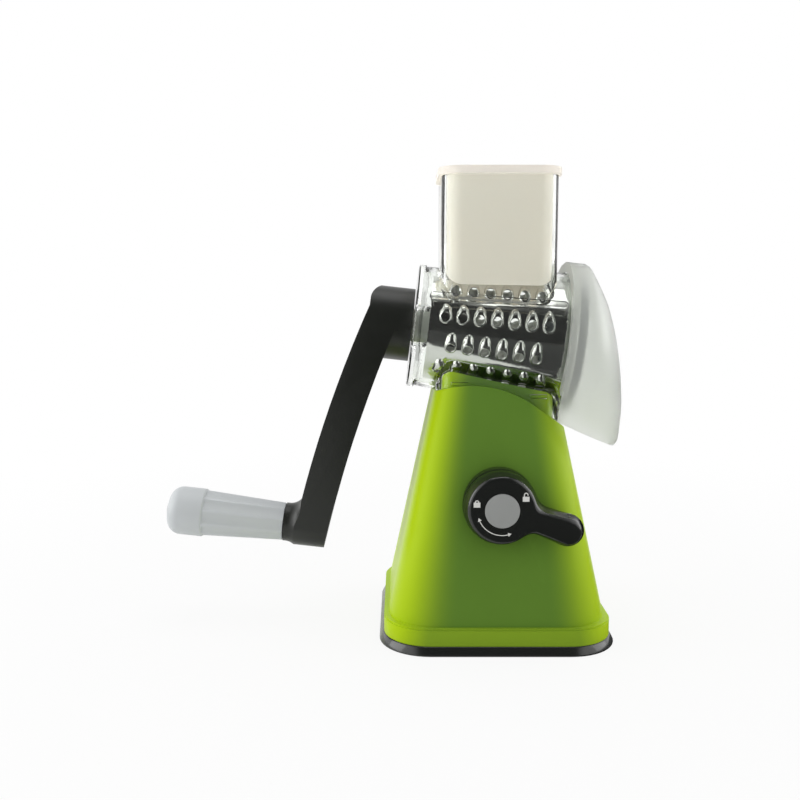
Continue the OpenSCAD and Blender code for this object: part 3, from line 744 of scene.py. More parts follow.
class Finish(Enum):
    """Every finish on the object."""

    # The shell green carries painted side light: lighter towards its left and right sides and on
    # its band.
    SHELL_GREEN = MouldedPlastic(
        "shell_green", srgb(98, 134, 52), 0.34, grain_size=0.6 * MM, grain_depth=0.004 * MM,
        drift=0.03, smudge=0.04, shine=(0.4, 0.6, 0.04, 1.0), ior=1.3,
        painted_side_light=PaintedSideLight(srgb(190, 220, 10)))
    FOOT_BLACK = MouldedPlastic(
        "foot_black", srgb(33, 35, 33), 0.25, coat=0.4, grain_depth=0.004 * MM)
    PLATE_BLACK = MouldedPlastic("plate_black", srgb(58, 60, 58), 0.5)
    CUP_RUBBER = MouldedPlastic("cup_rubber", srgb(30, 31, 30), 0.55, grain_size=0.8 * MM)
    LEVER_BLACK = MouldedPlastic(
        "lever_black", srgb(30, 32, 30), 0.2, coat=0.35, grain_size=0.8 * MM,
        grain_depth=0.003 * MM, smudge=0.03)
    CRANK_BLACK = MouldedPlastic(
        "crank_black", srgb(32, 34, 30), 0.36, grain_size=0.35 * MM, grain_depth=0.012 * MM)
    CAP_GREY = MouldedPlastic("cap_grey", srgb(156, 158, 156), 0.4, grain_size=0.4 * MM)
    GRIP_GREY = MouldedPlastic(
        "grip_grey", srgb(203, 207, 209), 0.42, grain_size=0.4 * MM, grain_depth=0.008 * MM,
        drift=0.02)
    RIM_GREY = MouldedPlastic("rim_grey", srgb(98, 104, 106), 0.4)
    LOCK_WHITE = MouldedPlastic("lock_white", srgb(225, 225, 220), 0.45)
    PRINT_WHITE = MouldedPlastic("print_white", srgb(224, 224, 220), 0.5, grain_size=0.3 * MM)
    CLEAR = ClearPlastic("clear_plastic", (0.97, 0.985, 0.965, 1.0))
    MILKY = FrostedPlastic("milky_plastic", srgb(255, 250, 243), 0.4, 0.6)
    # The hood's frosted finish has painted shade along its edges seen edge-on.
    FROSTED = FrostedPlastic(
        "frosted_plastic", srgb(248, 250, 246), 0.82, 0.36, rim_shade=0.8)
    STEEL = Steel("plain_steel", roughness=0.28)
    DARK_STEEL = Steel("dark_steel", (0.05, 0.05, 0.05, 1.0), 0.3)
    DRUM_STEEL = Steel(
        "drum_steel", (0.66, 0.67, 0.64, 1.0), 0.1, line_stretch=(1, 30, 30),
        inner_roughness=0.45)

    def material(self) -> bpy.types.Material:
        """The finish's material, made the first time it is asked for."""
        return bpy.data.materials.get("look_" + self.value.name) or self.value.build()


# ---------------------------------------------------------------- meshes


def mesh_object(name: str, mesh: bpy.types.Mesh, finish: Finish) -> bpy.types.Object:
    """Put a mesh in the scene in one finish.

    Args:
        name: The piece's name.
        mesh: Its mesh, in the row frame.
        finish: Its finish.

    Returns:
        The new object.
    """
    mesh.materials.clear()
    mesh.materials.append(finish.material())
    piece = bpy.data.objects.new(name, mesh)
    bpy.context.scene.collection.objects.link(piece)
    return piece


def smooth(mesh: bpy.types.Mesh, angle: float = 32.0) -> None:
    """Shade a mesh smooth, apart from edges sharper than an angle.

    Args:
        mesh: The mesh.
        angle: The angle in degrees.
    """
    mesh.shade_smooth()
    mesh.set_sharp_from_angle(angle=math.radians(angle))


def rounded_copy(node: str, name: str, finish: Finish, width: float = 0.5 * MM,
                 segments: int = 2, angle: float = 35.0) -> bpy.types.Object:
    """Copy a CAD node as one welded mesh with rounded edges, which stands for it.

    Args:
        node: The CAD node.
        name: The new piece's name.
        finish: Its finish.
        width: Width of the rounding in metres; 0 leaves the edges sharp.
        segments: Faces across the rounding.
        angle: Edges sharper than this, in degrees, are rounded.

    Returns:
        The new piece, riding on the node's body.
    """
    source = frame["nodes"][node]
    work = bmesh.new()
    work.from_mesh(source.data)
    bmesh.ops.remove_doubles(work, verts=work.verts, dist=WELD)
    bmesh.ops.dissolve_degenerate(work, edges=work.edges, dist=WELD)
    bmesh.ops.dissolve_limit(work, verts=work.verts, edges=work.edges,
                             angle_limit=math.radians(FLAT_ANGLE))
    if width:
        limit = math.radians(angle)
        sharp = [edge for edge in work.edges
                 if len(edge.link_faces) == 2 and edge.calc_face_angle(0) > limit]
        bmesh.ops.bevel(work, geom=sharp, offset=width, segments=segments, profile=0.5,
                        affect="EDGES", clamp_overlap=True, loop_slide=True)
    mesh = bpy.data.meshes.new(name)
    work.to_mesh(mesh)
    work.free()
    smooth(mesh)
    piece = mesh_object(name, mesh, finish)
    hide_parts(node)
    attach(piece, source["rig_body"])
    return piece


def sheet_mesh(name: str, rows: Sequence[Sequence[Point]], thickness: float = 0.0,
               closed: bool = False) -> bpy.types.Mesh:
    """Skin rows of points, and thicken the skin inwards.

    Args:
        name: The mesh's name.
        rows: Rows of equally many points.
        thickness: Thickness of the wall in metres; 0 leaves a skin.
        closed: Whether each row joins up with its own start.

    Returns:
        The mesh.
    """
    work = bmesh.new()
    grid = [[work.verts.new(point) for point in row] for row in rows]
    count = len(rows[0])
    for first, second in zip(grid, grid[1:]):
        for i in range(count if closed else count - 1):
            j = (i + 1) % count
            work.faces.new((first[i], first[j], second[j], second[i]))
    bmesh.ops.remove_doubles(work, verts=work.verts, dist=SKIN_WELD)
    bmesh.ops.dissolve_degenerate(work, edges=work.edges, dist=SKIN_WELD)
    mesh = bpy.data.meshes.new(name)
    close_skin(work, mesh, thickness)
    return mesh


def close_skin(work: bmesh.types.BMesh, mesh: bpy.types.Mesh, thickness: float) -> None:
    """Thicken a skin inwards, turn its faces outwards and write it to a mesh.

    Args:
        work: The skin, which is used up.
        mesh: The mesh to write.
        thickness: Thickness of the wall in metres; 0 leaves a skin.
    """
    bmesh.ops.recalc_face_normals(work, faces=work.faces)
    if thickness:
        bmesh.ops.solidify(work, geom=work.faces[:], thickness=thickness)
        bmesh.ops.recalc_face_normals(work, faces=work.faces)
    work.to_mesh(mesh)
    work.free()


@dataclass
class SubAssembly:
    """What every sub-assembly shares."""

    def place(self, name: str, mesh: bpy.types.Mesh, finish: Finish, slot: str, body: str,
              *nodes: str, angle: float = 40.0) -> bpy.types.Object:
        """Put a new piece in the scene.

        Args:
            name: The piece's name.
            mesh: Its mesh, in the row frame.
            finish: Its finish.
            slot: The record's material slot; not used.
            body: The body that it rides on.
            nodes: The CAD nodes that it stands for, if any.
            angle: Edges sharper than this, in degrees, stay sharp.

        Returns:
            The new piece.
        """
        smooth(mesh, angle)
        piece = mesh_object(name, mesh, finish)
        if nodes:
            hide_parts(*nodes)
        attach(piece, body)
        log.info("%s: %d faces", name, len(mesh.polygons))
        return piece

    def dress(self, node: str, finish: Finish, slot: str, width: float = 0.5 * MM,
              segments: int = 2) -> bpy.types.Object:
        """Stand a rounded copy in for a CAD node.

        Args:
            node: The CAD node.
            finish: Its finish.
            slot: The record's material slot; not used.
            width: Width of the rounded edges in metres.
            segments: Faces across the rounding.

        Returns:
            The new piece.
        """
        piece = rounded_copy(node, node + "_piece", finish, width, segments)
        log.info("%s: %d faces", piece.name, len(piece.data.polygons))
        return piece

    def paint(self, node: str, finish: Finish) -> None:
        """Give a CAD node that stays a finish.

        Args:
            node: The CAD node.
            finish: Its finish.
        """
        piece = frame["nodes"][node]
        piece.data.materials.clear()
        piece.data.materials.append(finish.material())
        log.info("%s keeps its solid", node)


@dataclass
class Foot(SubAssembly):
    """Foot ring, bottom plate with its screws, and the suction cup."""

    edge: float = 0.6 * MM

    def build(self) -> None:
        """Make every piece of the foot."""
        self.dress("base_ring", Finish.FOOT_BLACK, "foot_black", width=self.edge, segments=3)
        self.dress("base_plate", Finish.PLATE_BLACK, "plate_black", width=0.4 * MM)
        self.dress("base_screws", Finish.STEEL, "steel", width=0.15 * MM)
        self.dress("suction_cup", Finish.CUP_RUBBER, "cup_rubber", width=0.3 * MM)


@dataclass
class Tower(SubAssembly):
    """The green shell."""

    edge: float = 0.8 * MM

    def build(self) -> None:
        """Make the shell."""
        self.dress("base_shell", Finish.SHELL_GREEN, "shell_green", width=self.edge, segments=3)


@dataclass
class FacePrint:
    """Signs printed on the lever's face, as thin raised patches in the lever's frame."""

    face: float
    thickness: float = 0.06 * MM
    sign_radius: float = 13.4 * MM
    closed_at: float = 166.0
    open_at: float = 28.0
    body: Pair = (1.7 * MM, 1.3 * MM)
    bow: Pair = (0.65 * MM, 1.15 * MM)
    lift: float = 0.9 * MM
    gap_share: float = 0.6
    bow_steps: int = 10
    arrow_radius: float = 12.6 * MM
    arrow_angles: Pair = (196.0, 292.0)
    arrow_half: float = 0.22 * MM
    head_half: float = 1.0 * MM
    head_angle: float = 8.0
    arc_steps: int = 40

    def build(self) -> bpy.types.Mesh:
        """Draw the locked and open signs and the arrow between them.

        Returns:
            The print's mesh, in the row frame.
        """
        work = bmesh.new()
        self._padlock(work, self.closed_at, 0.0)
        self._padlock(work, self.open_at, self.lift)
        self._arrow(work)
        bmesh.ops.remove_doubles(work, verts=work.verts, dist=WELD)
        lifted = bmesh.ops.extrude_face_region(work, geom=work.faces[:])
        bmesh.ops.translate(work, vec=(0, 0, self.thickness), verts=[
            item for item in lifted["geom"] if isinstance(item, bmesh.types.BMVert)])
        mesh = bpy.data.meshes.new("lever_print")
        close_skin(work, mesh, 0.0)
        mesh.transform(lever_frame())
        return mesh

    def _patch(self, work: bmesh.types.BMesh, outline: Iterable[Pair]) -> None:
        """Add a flat patch inside an outline."""
        work.faces.new([work.verts.new((x, y, self.face)) for x, y in outline])

    def _band(self, work: bmesh.types.BMesh, middle: Pair, radii: Pair, angles: Pair,
              steps: int) -> None:
        """Add an arc of even width.

        Args:
            work: The mesh that it is added to.
            middle: The arc's middle.
            radii: Its inner and outer radius.
            angles: Where it starts and ends, in degrees.
            steps: How many straight pieces it is made of.
        """
        turns = [math.radians(angles[0] + (angles[1] - angles[0]) * i / steps)
                 for i in range(steps + 1)]
        for first, second in zip(turns, turns[1:]):
            ends = ((radii[0], first), (radii[1], first), (radii[1], second), (radii[0], second))
            self._patch(work, [(middle[0] + radius * math.cos(turn),
                                middle[1] + radius * math.sin(turn)) for radius, turn in ends])

    def _padlock(self, work: bmesh.types.BMesh, angle: float, lift: float) -> None:
        """Add a padlock.

        Args:
            work: The mesh that it is added to.
            angle: Its direction from the lever's axis, in degrees.
            lift: How far its bow stands open; 0 closes it.
        """
        x = self.sign_radius * math.cos(math.radians(angle))
        y = self.sign_radius * math.sin(math.radians(angle))
        wide, tall = self.body
        top = y + tall
        self._patch(work, [(x - wide, y - tall), (x + wide, y - tall), (x + wide, top),
                           (x - wide, top)])
        self._band(work, (x, top + lift), self.bow, (0, 180), self.bow_steps)
        for side, foot in ((-1, top), (1, top + lift * self.gap_share)):
            inner, outer = (x + side * radius for radius in self.bow)
            self._patch(work, [(inner, foot), (outer, foot), (outer, top + lift),
                               (inner, top + lift)])

    def _arrow(self, work: bmesh.types.BMesh) -> None:
        """Add the arc with a head at each end.

        Args:
            work: The mesh that it is added to.
        """
        radius, half = self.arrow_radius, self.arrow_half
        first, last = self.arrow_angles
        self._band(work, (0, 0), (radius - half, radius + half),
                   (first + self.head_angle, last - self.head_angle),
                   self.arc_steps)
        for angle, way in ((first, 1), (last, -1)):
            tip = math.radians(angle)
            back = math.radians(angle + way * self.head_angle)
            self._patch(work, [(radius * math.cos(tip), radius * math.sin(tip))] + [
                ((radius + side) * math.cos(back), (radius + side) * math.sin(back))
                for side in (-self.head_half, self.head_half)])


@dataclass
class LeverForm:
    """Outline and rounded section of the lever, in its own frame."""

    face: float
    disc: float = 19.4 * MM
    arm_angle: float = math.radians(-18.3)
    arm_length: float = 35.8 * MM
    arm_halves: Pair = (7.4 * MM, 8.6 * MM)
    fillet: float = 5.0 * MM
    edge_round: float = 2.2 * MM
    draft: float = 1.6 * MM
    foot: float = 49.45 * MM
    shell_wall: Pair = (45.75 * MM, 0.192)
    back_edge: tuple[Pair, ...] = ((0.7 * MM, 0.0), (0.2 * MM, 0.3 * MM), (0.0, 0.9 * MM))
    side_row: Pair = (0.4, 2.4)
    pocket: Pair = (9.0 * MM, 2.2 * MM)
    pocket_edge: float = 0.3 * MM
    inner: float = 12.0 * MM
    arm_step: float = 0.8
    arm_steps: int = 42
    disc_start: float = 34.0
    disc_steps: int = 84
    round_steps: int = 6

    def build(self) -> bpy.types.Mesh:
        """Shape a disc and an arm that flow into each other, with a rounded edge.

        Returns:
            The lever's mesh, in the row frame.
        """
        edge, face = self.edge_round, self.face
        ring, deep = self.pocket
        rows = [self._row(0, self.foot, 0.0), self._row(0, self.foot, self.inner)]
        rows += [self._row(inset, lift=lift) for inset, lift in self.back_edge]
        rows.append(self._row(self.draft * self.side_row[0], face - edge * self.side_row[1]))
        for step in range(self.round_steps + 1):
            angle = math.pi / 2 * step / self.round_steps
            rows.append(self._row(self.draft + edge * (1 - math.cos(angle)),
                                  face - edge + edge * math.sin(angle)))
        rows += [self._row(0, face, self.inner), self._row(0, face, ring + self.pocket_edge),
                 self._row(0, face - self.pocket_edge, ring), self._row(0, face - deep, ring),
                 self._row(0, face - deep, 0.0)]
        mesh = sheet_mesh("lever_body", rows, closed=True)
        mesh.transform(lever_frame())
        return mesh

    def _turns(self) -> list[float]:
        """Spread the outline's points, closer together along the arm.

        Returns:
            Their directions, measured from the arm's.
        """
        along = [self.arm_step * i for i in range(-self.arm_steps, self.arm_steps + 1)]
        step = (360 - 2 * self.disc_start) / self.disc_steps
        rest = [self.disc_start + step * i for i in range(1, self.disc_steps)]
        return [math.radians(angle) for angle in along + rest]

    def _row(self, inset: float, height: Optional[float] = None, widest: float = 1.0,
             lift: float = 0.0) -> list[Point]:
        """Lay a row of points round the lever.

        Args:
            inset: How far inside the outline they lie.
            height: Their height; without it they follow the leaning wall of the shell.
            widest: Their greatest distance from the axis.
            lift: How far above the wall they lie.

        Returns:
            The points in the lever's frame.
        """
        points = []
        for turn in self._turns():
            reach = min(self._outline(turn, inset), widest)
            back = max(self.foot, self.shell_wall[0] + self.shell_wall[1] * reach) + lift
            points.append((reach * math.cos(turn + self.arm_angle),
                           reach * math.sin(turn + self.arm_angle),
                           back if height is None else height))
        return points

    def _outline(self, turn: float, inset: float) -> float:
        """Find the lever's outline by halving.

        Args:
            turn: Direction, measured from the arm's.
            inset: How far inside the outline to stop.

        Returns:
            The distance from the axis in metres.
        """
        low, high = 0.0, self.arm_length + self.disc
        for _ in range(HALVINGS):
            middle = (low + high) / 2
            inside = self._beyond(middle * math.cos(turn), middle * math.sin(turn)) < -inset
            low, high = (middle, high) if inside else (low, middle)
        return low

    def _beyond(self, x: float, y: float) -> float:
        """Distance of a point from the outline.

        Args:
            x: Place along the arm.
            y: Place across it.

        Returns:
            The distance, negative inside.
        """
        share = min(max(x / self.arm_length, 0.0), 1.0)
        half = self.arm_halves[0] + (self.arm_halves[1] - self.arm_halves[0]) * share**3
        arm = math.hypot(x - share * self.arm_length, y) - half
        disc = math.hypot(x, y) - self.disc
        blend = max(self.fillet - abs(arm - disc), 0.0) / self.fillet
        return min(arm, disc) - blend**2 * self.fillet / 4


@dataclass
class Lock(SubAssembly):
    """Lever, its cap and bush, and the cam, rod and spring that it works."""

    face: float = 59.95 * MM
    spring_radius: float = 8.8 * MM
    spring_wire: float = 0.8 * MM
    spring_turns: float = 5.0
    spring_steps: int = 28
    wire_sides: int = 10
    spring_ends: Pair = (15.6 * MM, 35.0 * MM)
    cup_lift: float = 7.0 * MM

    def build(self) -> None:
        """Make every piece of the lock."""
        self.place("lever_body", LeverForm(self.face).build(), Finish.LEVER_BLACK, "lever_black",
                   "lock", "lever")
        self.dress("lever_cap", Finish.CAP_GREY, "cap_grey", width=0.2 * MM)
        self.dress("lever_bush", Finish.LEVER_BLACK, "lever_black", width=0.4 * MM)
        for node in ("lever_screw", "pull_rod", "follower_pin"):
            self.paint(node, Finish.STEEL)
        for node in ("cam_shaft", "cam_yoke"):
            self.paint(node, Finish.LOCK_WHITE)
        self._spring()
        self.place("lever_print", FacePrint(self.face).build(), Finish.PRINT_WHITE, "lock_white",
                   "lock")

    def _spring(self) -> None:
        """Wind the release spring at one fixed length, though the real one shortens as the rod
        rises.
        """
        low, high = self.spring_ends
        wire = self.spring_wire
        recipe = GeometryRecipe("release_spring_coil", {
            "Radius": self.spring_radius, "Turns": self.spring_turns,
            "Height": high - low - 2 * wire, "Wire": wire})
        spiral = recipe.node("GeometryNodeCurveSpiral", None, {
            "Resolution": self.spring_steps, "Rotations": recipe.input("Turns"),
            "Start Radius": recipe.input("Radius"), "End Radius": recipe.input("Radius"),
            "Height": recipe.input("Height")})
        ring = recipe.node("GeometryNodeCurvePrimitiveCircle", {"mode": "RADIUS"}, {
            "Resolution": self.wire_sides, "Radius": recipe.input("Wire")})
        coil = recipe.node("GeometryNodeCurveToMesh", None, {
            "Curve": spiral.outputs[0], "Profile Curve": ring.outputs[0], "Fill Caps": True})
        mesh = recipe.grow(coil.outputs[0], Finish.STEEL)
        mesh.transform(Matrix.Translation((0, 0, low + wire)))
        piece = self.place("release_spring_coil", mesh, Finish.STEEL, "steel", "base",
                           "release_spring", angle=50)
        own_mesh(piece)


@dataclass
class Chamber(SubAssembly):
    """The clear chamber with its hopper, and the bush in its closed end."""

    edge: float = 0.4 * MM

    def build(self) -> None:
        """Make the chamber."""
        self.dress("chamber", Finish.CLEAR, "clear_plastic", width=self.edge, segments=2)
        self.dress("end_bush", Finish.LOCK_WHITE, "lock_white", width=0.2 * MM)


@dataclass
class Drum(SubAssembly):
    """Steel drum with its hub, rim and shaft."""

    ends: Pair = (-37.4 * MM, 38.0 * MM)
    radii: Pair = (28.7 * MM, 33.9 * MM)
    middle_radius: float = 31.0 * MM
    sheet: float = 0.8 * MM
    rows: int = 12
    teeth: int = 7
    pitch: float = 9.08 * MM
    first_tooth: float = -29.0 * MM
    first_row: float = math.radians(-108)
    tooth_height: float = 2.3 * MM
    tooth_half: float = 3.45 * MM
    tail: float = 8.3 * MM
    hole: float = 2.45 * MM
    hole_ahead: float = 2.2 * MM
    front_lip: float = 0.62
    lip_round: float = 0.15 * MM
    lip_falls: Pair = (0.25 * MM, 0.05 * MM)
    hump: float = 0.75
    skirt: float = 0.25 * MM
    edge_share: float = 0.985
    slope_shares: tuple[float, ...] = (0.2, 0.4, 0.6, 0.8, 0.93, 1.0)
    across: int = 10
    around: int = 14

    def build(self) -> None:
        """Make every piece of the drum."""
        self._shell()
        self.dress("drum_hub", Finish.PLATE_BLACK, "plate_black", width=0.3 * MM)
        self.dress("drum_rim", Finish.RIM_GREY, "rim_grey", width=0.4 * MM)
        self.dress("drive_shaft", Finish.STEEL, "steel", width=0.3 * MM)

    def _row_depth(self) -> float:
        """Breadth of a row of teeth, laid flat."""
        return 2 * math.pi / self.rows * self.middle_radius

    def _cell(self) -> bpy.types.Mesh:
        """Make one tooth with its patch of sheet, laid flat: X along the drum, Y its turn.

        The hood rises from a pointed tail to the lip of a round hole on the side that leads.

        Returns:
            The tooth's mesh.
        """
        half_x, half_y = self.pitch / 2, self._row_depth() / 2
        rim = [(-half_x + 2 * half_x * i / self.across, -half_y) for i in range(self.across)]
        rim += [(half_x, -half_y + 2 * half_y * i / self.around) for i in range(self.around)]
        rim += [(-x, -y) for x, y in rim]
        columns = []
        for x, y in rim:
            reach = math.hypot(x, y - self.hole_ahead)
            side, ahead = x / reach, (y - self.hole_ahead) / reach
            columns.append([(side * radius, self.hole_ahead + ahead * radius, height)
                            for radius, height in self._profile(side, ahead, reach)])
        return sheet_mesh("drum_tooth", list(zip(*columns)), closed=True)

    def _profile(self, side: float, ahead: float, reach: float) -> list[Pair]:
        """Section through a tooth from the middle of its hole to the edge of its patch.

        Args:
            side: How far the section's direction points along the drum.
            ahead: How far it points the way the drum turns.
            reach: Distance from the hole's middle to the edge of the patch.

        Returns:
            Distances from the hole's middle, and heights.
        """
        length = self.tail if ahead < 0 else self.tooth_half
        foot = 1 / math.hypot(side / self.tooth_half, ahead / length)
        lip = self.tooth_height * (self.front_lip - (1 - self.front_lip) * ahead)
        start = self.hole + self.lip_round
        section = [(self.hole - self.lip_round, lip - self.lip_falls[0]),
                   (self.hole, lip - self.lip_falls[1]), (start, lip)]
        section += [(start + (foot - start) * share, lip * (1 - share**2) ** self.hump)
                    for share in self.slope_shares]
        flat = min(foot + self.skirt, reach * self.edge_share)
        section += [(flat, 0.0), ((flat + reach) / 2, 0.0), (reach, 0.0)]
        return [(radius, max(height, 0.0)) for radius, height in section]

    def _shell(self) -> None:
        """Join teeth and plain sheet, laid flat, and wrap them round the cone."""
        recipe = GeometryRecipe("drum_sheet", {
            "Pitch": self.pitch, "First tooth": self.first_tooth, "Teeth": self.teeth,
            "Row step": 2 * math.pi / self.rows, "First row": self.first_row,
            "Middle radius": self.middle_radius, "Start": self.ends[0], "End": self.ends[1],
            "Start radius": self.radii[0], "End radius": self.radii[1]})
        join = recipe.node("GeometryNodeJoinGeometry")
        for part in (*self._strips(recipe), *self._collars(recipe), self._teeth(recipe)):
            plug(recipe.tree, join.inputs[0], part)
        flat = recipe.node("GeometryNodeRealizeInstances", None, {0: join.outputs[0]})
        merged = recipe.node("GeometryNodeMergeByDistance", None, {
            "Geometry": self._wrap(recipe, flat.outputs[0]), "Distance": 2 * SKIN_WELD})
        mesh = recipe.grow(merged.outputs[0], Finish.DRUM_STEEL, self._cell())
        work = bmesh.new()
        work.from_mesh(mesh)
        close_skin(work, mesh, self.sheet)
        mesh.transform(axis_frame())
        self.place("drum_sheet", mesh, Finish.DRUM_STEEL, "drum_steel", "crank", "drum_shell",
                   angle=50)

    def _teeth(self, recipe: GeometryRecipe) -> bpy.types.NodeSocket:
        """Set the teeth out in rows, of which every second one is shifted and one shorter.

        Args:
            recipe: The tree that the nodes go into.

        Returns:
            The socket of the teeth.
        """
        value = recipe.input
        index = recipe.signal(recipe.node("GeometryNodeInputIndex"))
        row = (index / value("Teeth")).math("FLOOR")
        place = index % value("Teeth")
        odd = row % 2
        spare = odd * (place > value("Teeth") - 1.5)
        return recipe.scatter(
            self.rows * self.teeth,
            value("First tooth") + (place + odd * 0.5) * value("Pitch"),
            row * value("Row step") * value("Middle radius"),
            recipe.start.outputs["Geometry"], 1 - spare)

    def _strips(self, recipe: GeometryRecipe) -> list[bpy.types.NodeSocket]:
        """Fill both ends of the shorter rows with plain sheet.

        Args:
            recipe: The tree that the nodes go into.

        Returns:
            The sockets of the strips.
        """
        strip = recipe.node("GeometryNodeMeshGrid", None, {
            "Size X": self.pitch / 2, "Size Y": self._row_depth(),
            "Vertices X": self.across // 2 + 1, "Vertices Y": self.around + 1})
        index = recipe.signal(recipe.node("GeometryNodeInputIndex"))
        y = (index * 2 + 1) * recipe.input("Row step") * recipe.input("Middle radius")
        return [recipe.scatter(self.rows // 2, start, y, strip.outputs[0])
                for start in (self.first_tooth - self.pitch / 4,
                              self.first_tooth + self.pitch * (self.teeth - 0.75))]

    def _collars(self, recipe: GeometryRecipe) -> list[bpy.types.NodeSocket]:
        """Run plain sheet from the outermost teeth to both ends of the drum.

        Args:
            recipe: The tree that the nodes go into.

        Returns:
            The sockets of the collars.
        """
        first = self.first_tooth - self.pitch / 2
        last = self.first_tooth + self.pitch * (self.teeth - 0.5)
        collars = []
        for low, high in ((self.ends[0], first), (last, self.ends[1])):
            collar = recipe.node("GeometryNodeMeshGrid", None, {
                "Size X": high - low, "Size Y": self._row_depth() * self.rows, "Vertices X": 3,
                "Vertices Y": self.around * self.rows + 1})
            moved = recipe.node("GeometryNodeTransform", None, {
                "Geometry": collar.outputs[0],
                "Translation": ((low + high) / 2, self._row_depth() * (self.rows - 1) / 2, 0.0)})
            collars.append(moved.outputs[0])
        return collars

    def _wrap(self, recipe: GeometryRecipe, flat: bpy.types.NodeSocket) -> bpy.types.NodeSocket:
        """Roll the flat sheet up into the cone.

        Args:
            recipe: The tree that the nodes go into.
            flat: The socket of the flat sheet.

        Returns:
            The socket of the cone.
        """
        value = recipe.input
        along, turned, height = recipe.split(
            recipe.node("GeometryNodeInputPosition").outputs[0])
        turn = turned / value("Middle radius") + value("First row")
        taper = (value("End radius") - value("Start radius")) / (value("End") - value("Start"))
        radius = value("Start radius") + (along - value("Start")) * taper + height
        return recipe.node("GeometryNodeSetPosition", None, {
            "Geometry": flat,
            "Position": recipe.combine(radius * turn.math("COSINE"),
                                       radius * turn.math("SINE"), along)}).outputs[0]


@dataclass
class Crank(SubAssembly):
    """Crank arm, its screw, and the grip that turns on its axle."""

    def build(self) -> None:
        """Make every piece of the crank."""
        self.dress("crank_arm", Finish.CRANK_BLACK, "crank_black", width=1.2 * MM, segments=4)
        self.dress("crank_screw", Finish.DARK_STEEL, "steel", width=0.2 * MM)
        self.dress("grip", Finish.GRIP_GREY, "grip_grey", width=0.4 * MM, segments=3)
        self.dress("grip_axle", Finish.DARK_STEEL, "steel", width=0.3 * MM)


@dataclass
class Press(SubAssembly):
    """The pusher in the hopper."""

    def build(self) -> None:
        """Make the pusher."""
        self.dress("pusher", Finish.MILKY, "frosted_plastic", width=0.8 * MM, segments=3)


@dataclass
class Hood(SubAssembly):
    """The outlet hood, which leans out from a round collar as it goes down."""

    radius: float = 44.5 * MM
    collar: Pair = (35.6 * MM, 45.5 * MM)
    collar_share: float = 0.12
    wall: float = 1.8 * MM
    edge: Pair = (42.4 * MM, 41.0 * MM)
    edge_slope: float = math.tan(math.radians(18.3))
    tangent: Pair = (7.56 * MM, 0.172)
    plate: Pair = (38.9 * MM, 43.6 * MM)
    plate_end: float = 39.4 * MM
    plate_arc: Pair = (52.0, 256.0)
    plate_steps: int = 72
    nose: float = 6.0 * MM
    fullness: float = 0.9
    steps: int = 48
    columns: int = 40
    front: tuple[Pair, ...] = (
        (-44.5, 46.5), (-42.0, 48.3), (-36.0, 51.8), (-22.0, 60.0), (2.0, 69.0), (28.0, 75.2),
        (44.0, 76.4), (60.0, 76.6))

    def build(self) -> None:
        """Make the hood."""
        rows = [[self._point(i / self.steps, j / self.columns) for j in range(self.columns + 1)]
                for i in range(self.steps + 1)]
        mesh = sheet_mesh("hood", rows, self.wall)
        self._add_plate(mesh)
        mesh.transform(axis_frame())
        self.place("hood", mesh, Finish.FROSTED, "frosted_plastic", "base", "spout", angle=50)

    def _width(self, down: float) -> float:
        """Measure the hood's half width.

        Args:
            down: Distance below the axis.

        Returns:
            The half width there.
        """
        if down <= self.tangent[0]:
            return math.sqrt(max(self.radius**2 - down**2, 0.0))
        side = math.sqrt(self.radius**2 - self.tangent[0] ** 2)
        return side - (down - self.tangent[0]) * self.tangent[1]

    def _reach(self, down: float) -> float:
        """Find the hood's front.

        Args:
            down: Distance below the axis.

        Returns:
            Place of the front along the axis.
        """
        reach = spline([(x * MM, y * MM) for x, y in self.front], down)
        low = self._lower_edge(reach) - self.nose
        if down > low:
            past = min((down - low) / self.nose, 1.0)
            reach -= self.nose * self.fullness * (1 - math.sqrt(1 - past**2))
        return reach

    def _lower_edge(self, along: float) -> float:
        """Distance of the lower edge below the axis at a place along it."""
        return self.edge[0] + (along - self.edge[1]) * self.edge_slope

    def _point(self, share: float, turn: float) -> Point:
        """Point of the outer skin.

        Args:
            share: How far down the skin it lies, from 0 at the top to 1 at the lower edge.
            turn: How far round it lies, from 0 to 1.

        Returns:
            The point in the axis's frame.
        """
        back, mouth = self.collar
        wing = self.collar_share
        down = self.radius
        for _ in range(6):
            depth = -self.radius + share * (down + self.radius)
            front = self._reach(depth)
            if wing <= turn <= 1 - wing:
                angle = math.pi * ((turn - wing) / (1 - 2 * wing) - 0.5)
                along = mouth + (front - mouth) * math.cos(angle) ** self.fullness
                side = math.sin(angle)
            else:
                side = -1.0 if turn < wing else 1.0
                gap = turn if turn < wing else 1 - turn
                along = back + (mouth - back) * gap / wing
            down = self._lower_edge(along)
        return depth, side * self._width(depth), along

    def _add_plate(self, mesh: bpy.types.Mesh) -> None:
        """Add the plate that snaps over the chamber's flange.

        Args:
            mesh: The hood's mesh, which the plate is added to.
        """
        work = bmesh.new()
        work.from_mesh(mesh)
        inner, outer = self.plate
        section = [(inner, self.collar[0]), (outer, self.collar[0]), (outer, self.plate_end),
                   (inner, self.plate_end)]
        rings = []
        for i in range(self.plate_steps + 1):
            turn = math.radians(self.plate_arc[0] + self.plate_arc[1] * i / self.plate_steps)
            rings.append([work.verts.new((radius * math.cos(turn), radius * math.sin(turn), along))
                          for radius, along in section])
        for first, second in zip(rings, rings[1:]):
            for i in range(4):
                work.faces.new((first[i], first[i - 1], second[i - 1], second[i]))
        work.faces.new(rings[0])
        work.faces.new(reversed(rings[-1]))
        close_skin(work, mesh, 0.0)


# ---------------------------------------------------------------- studio


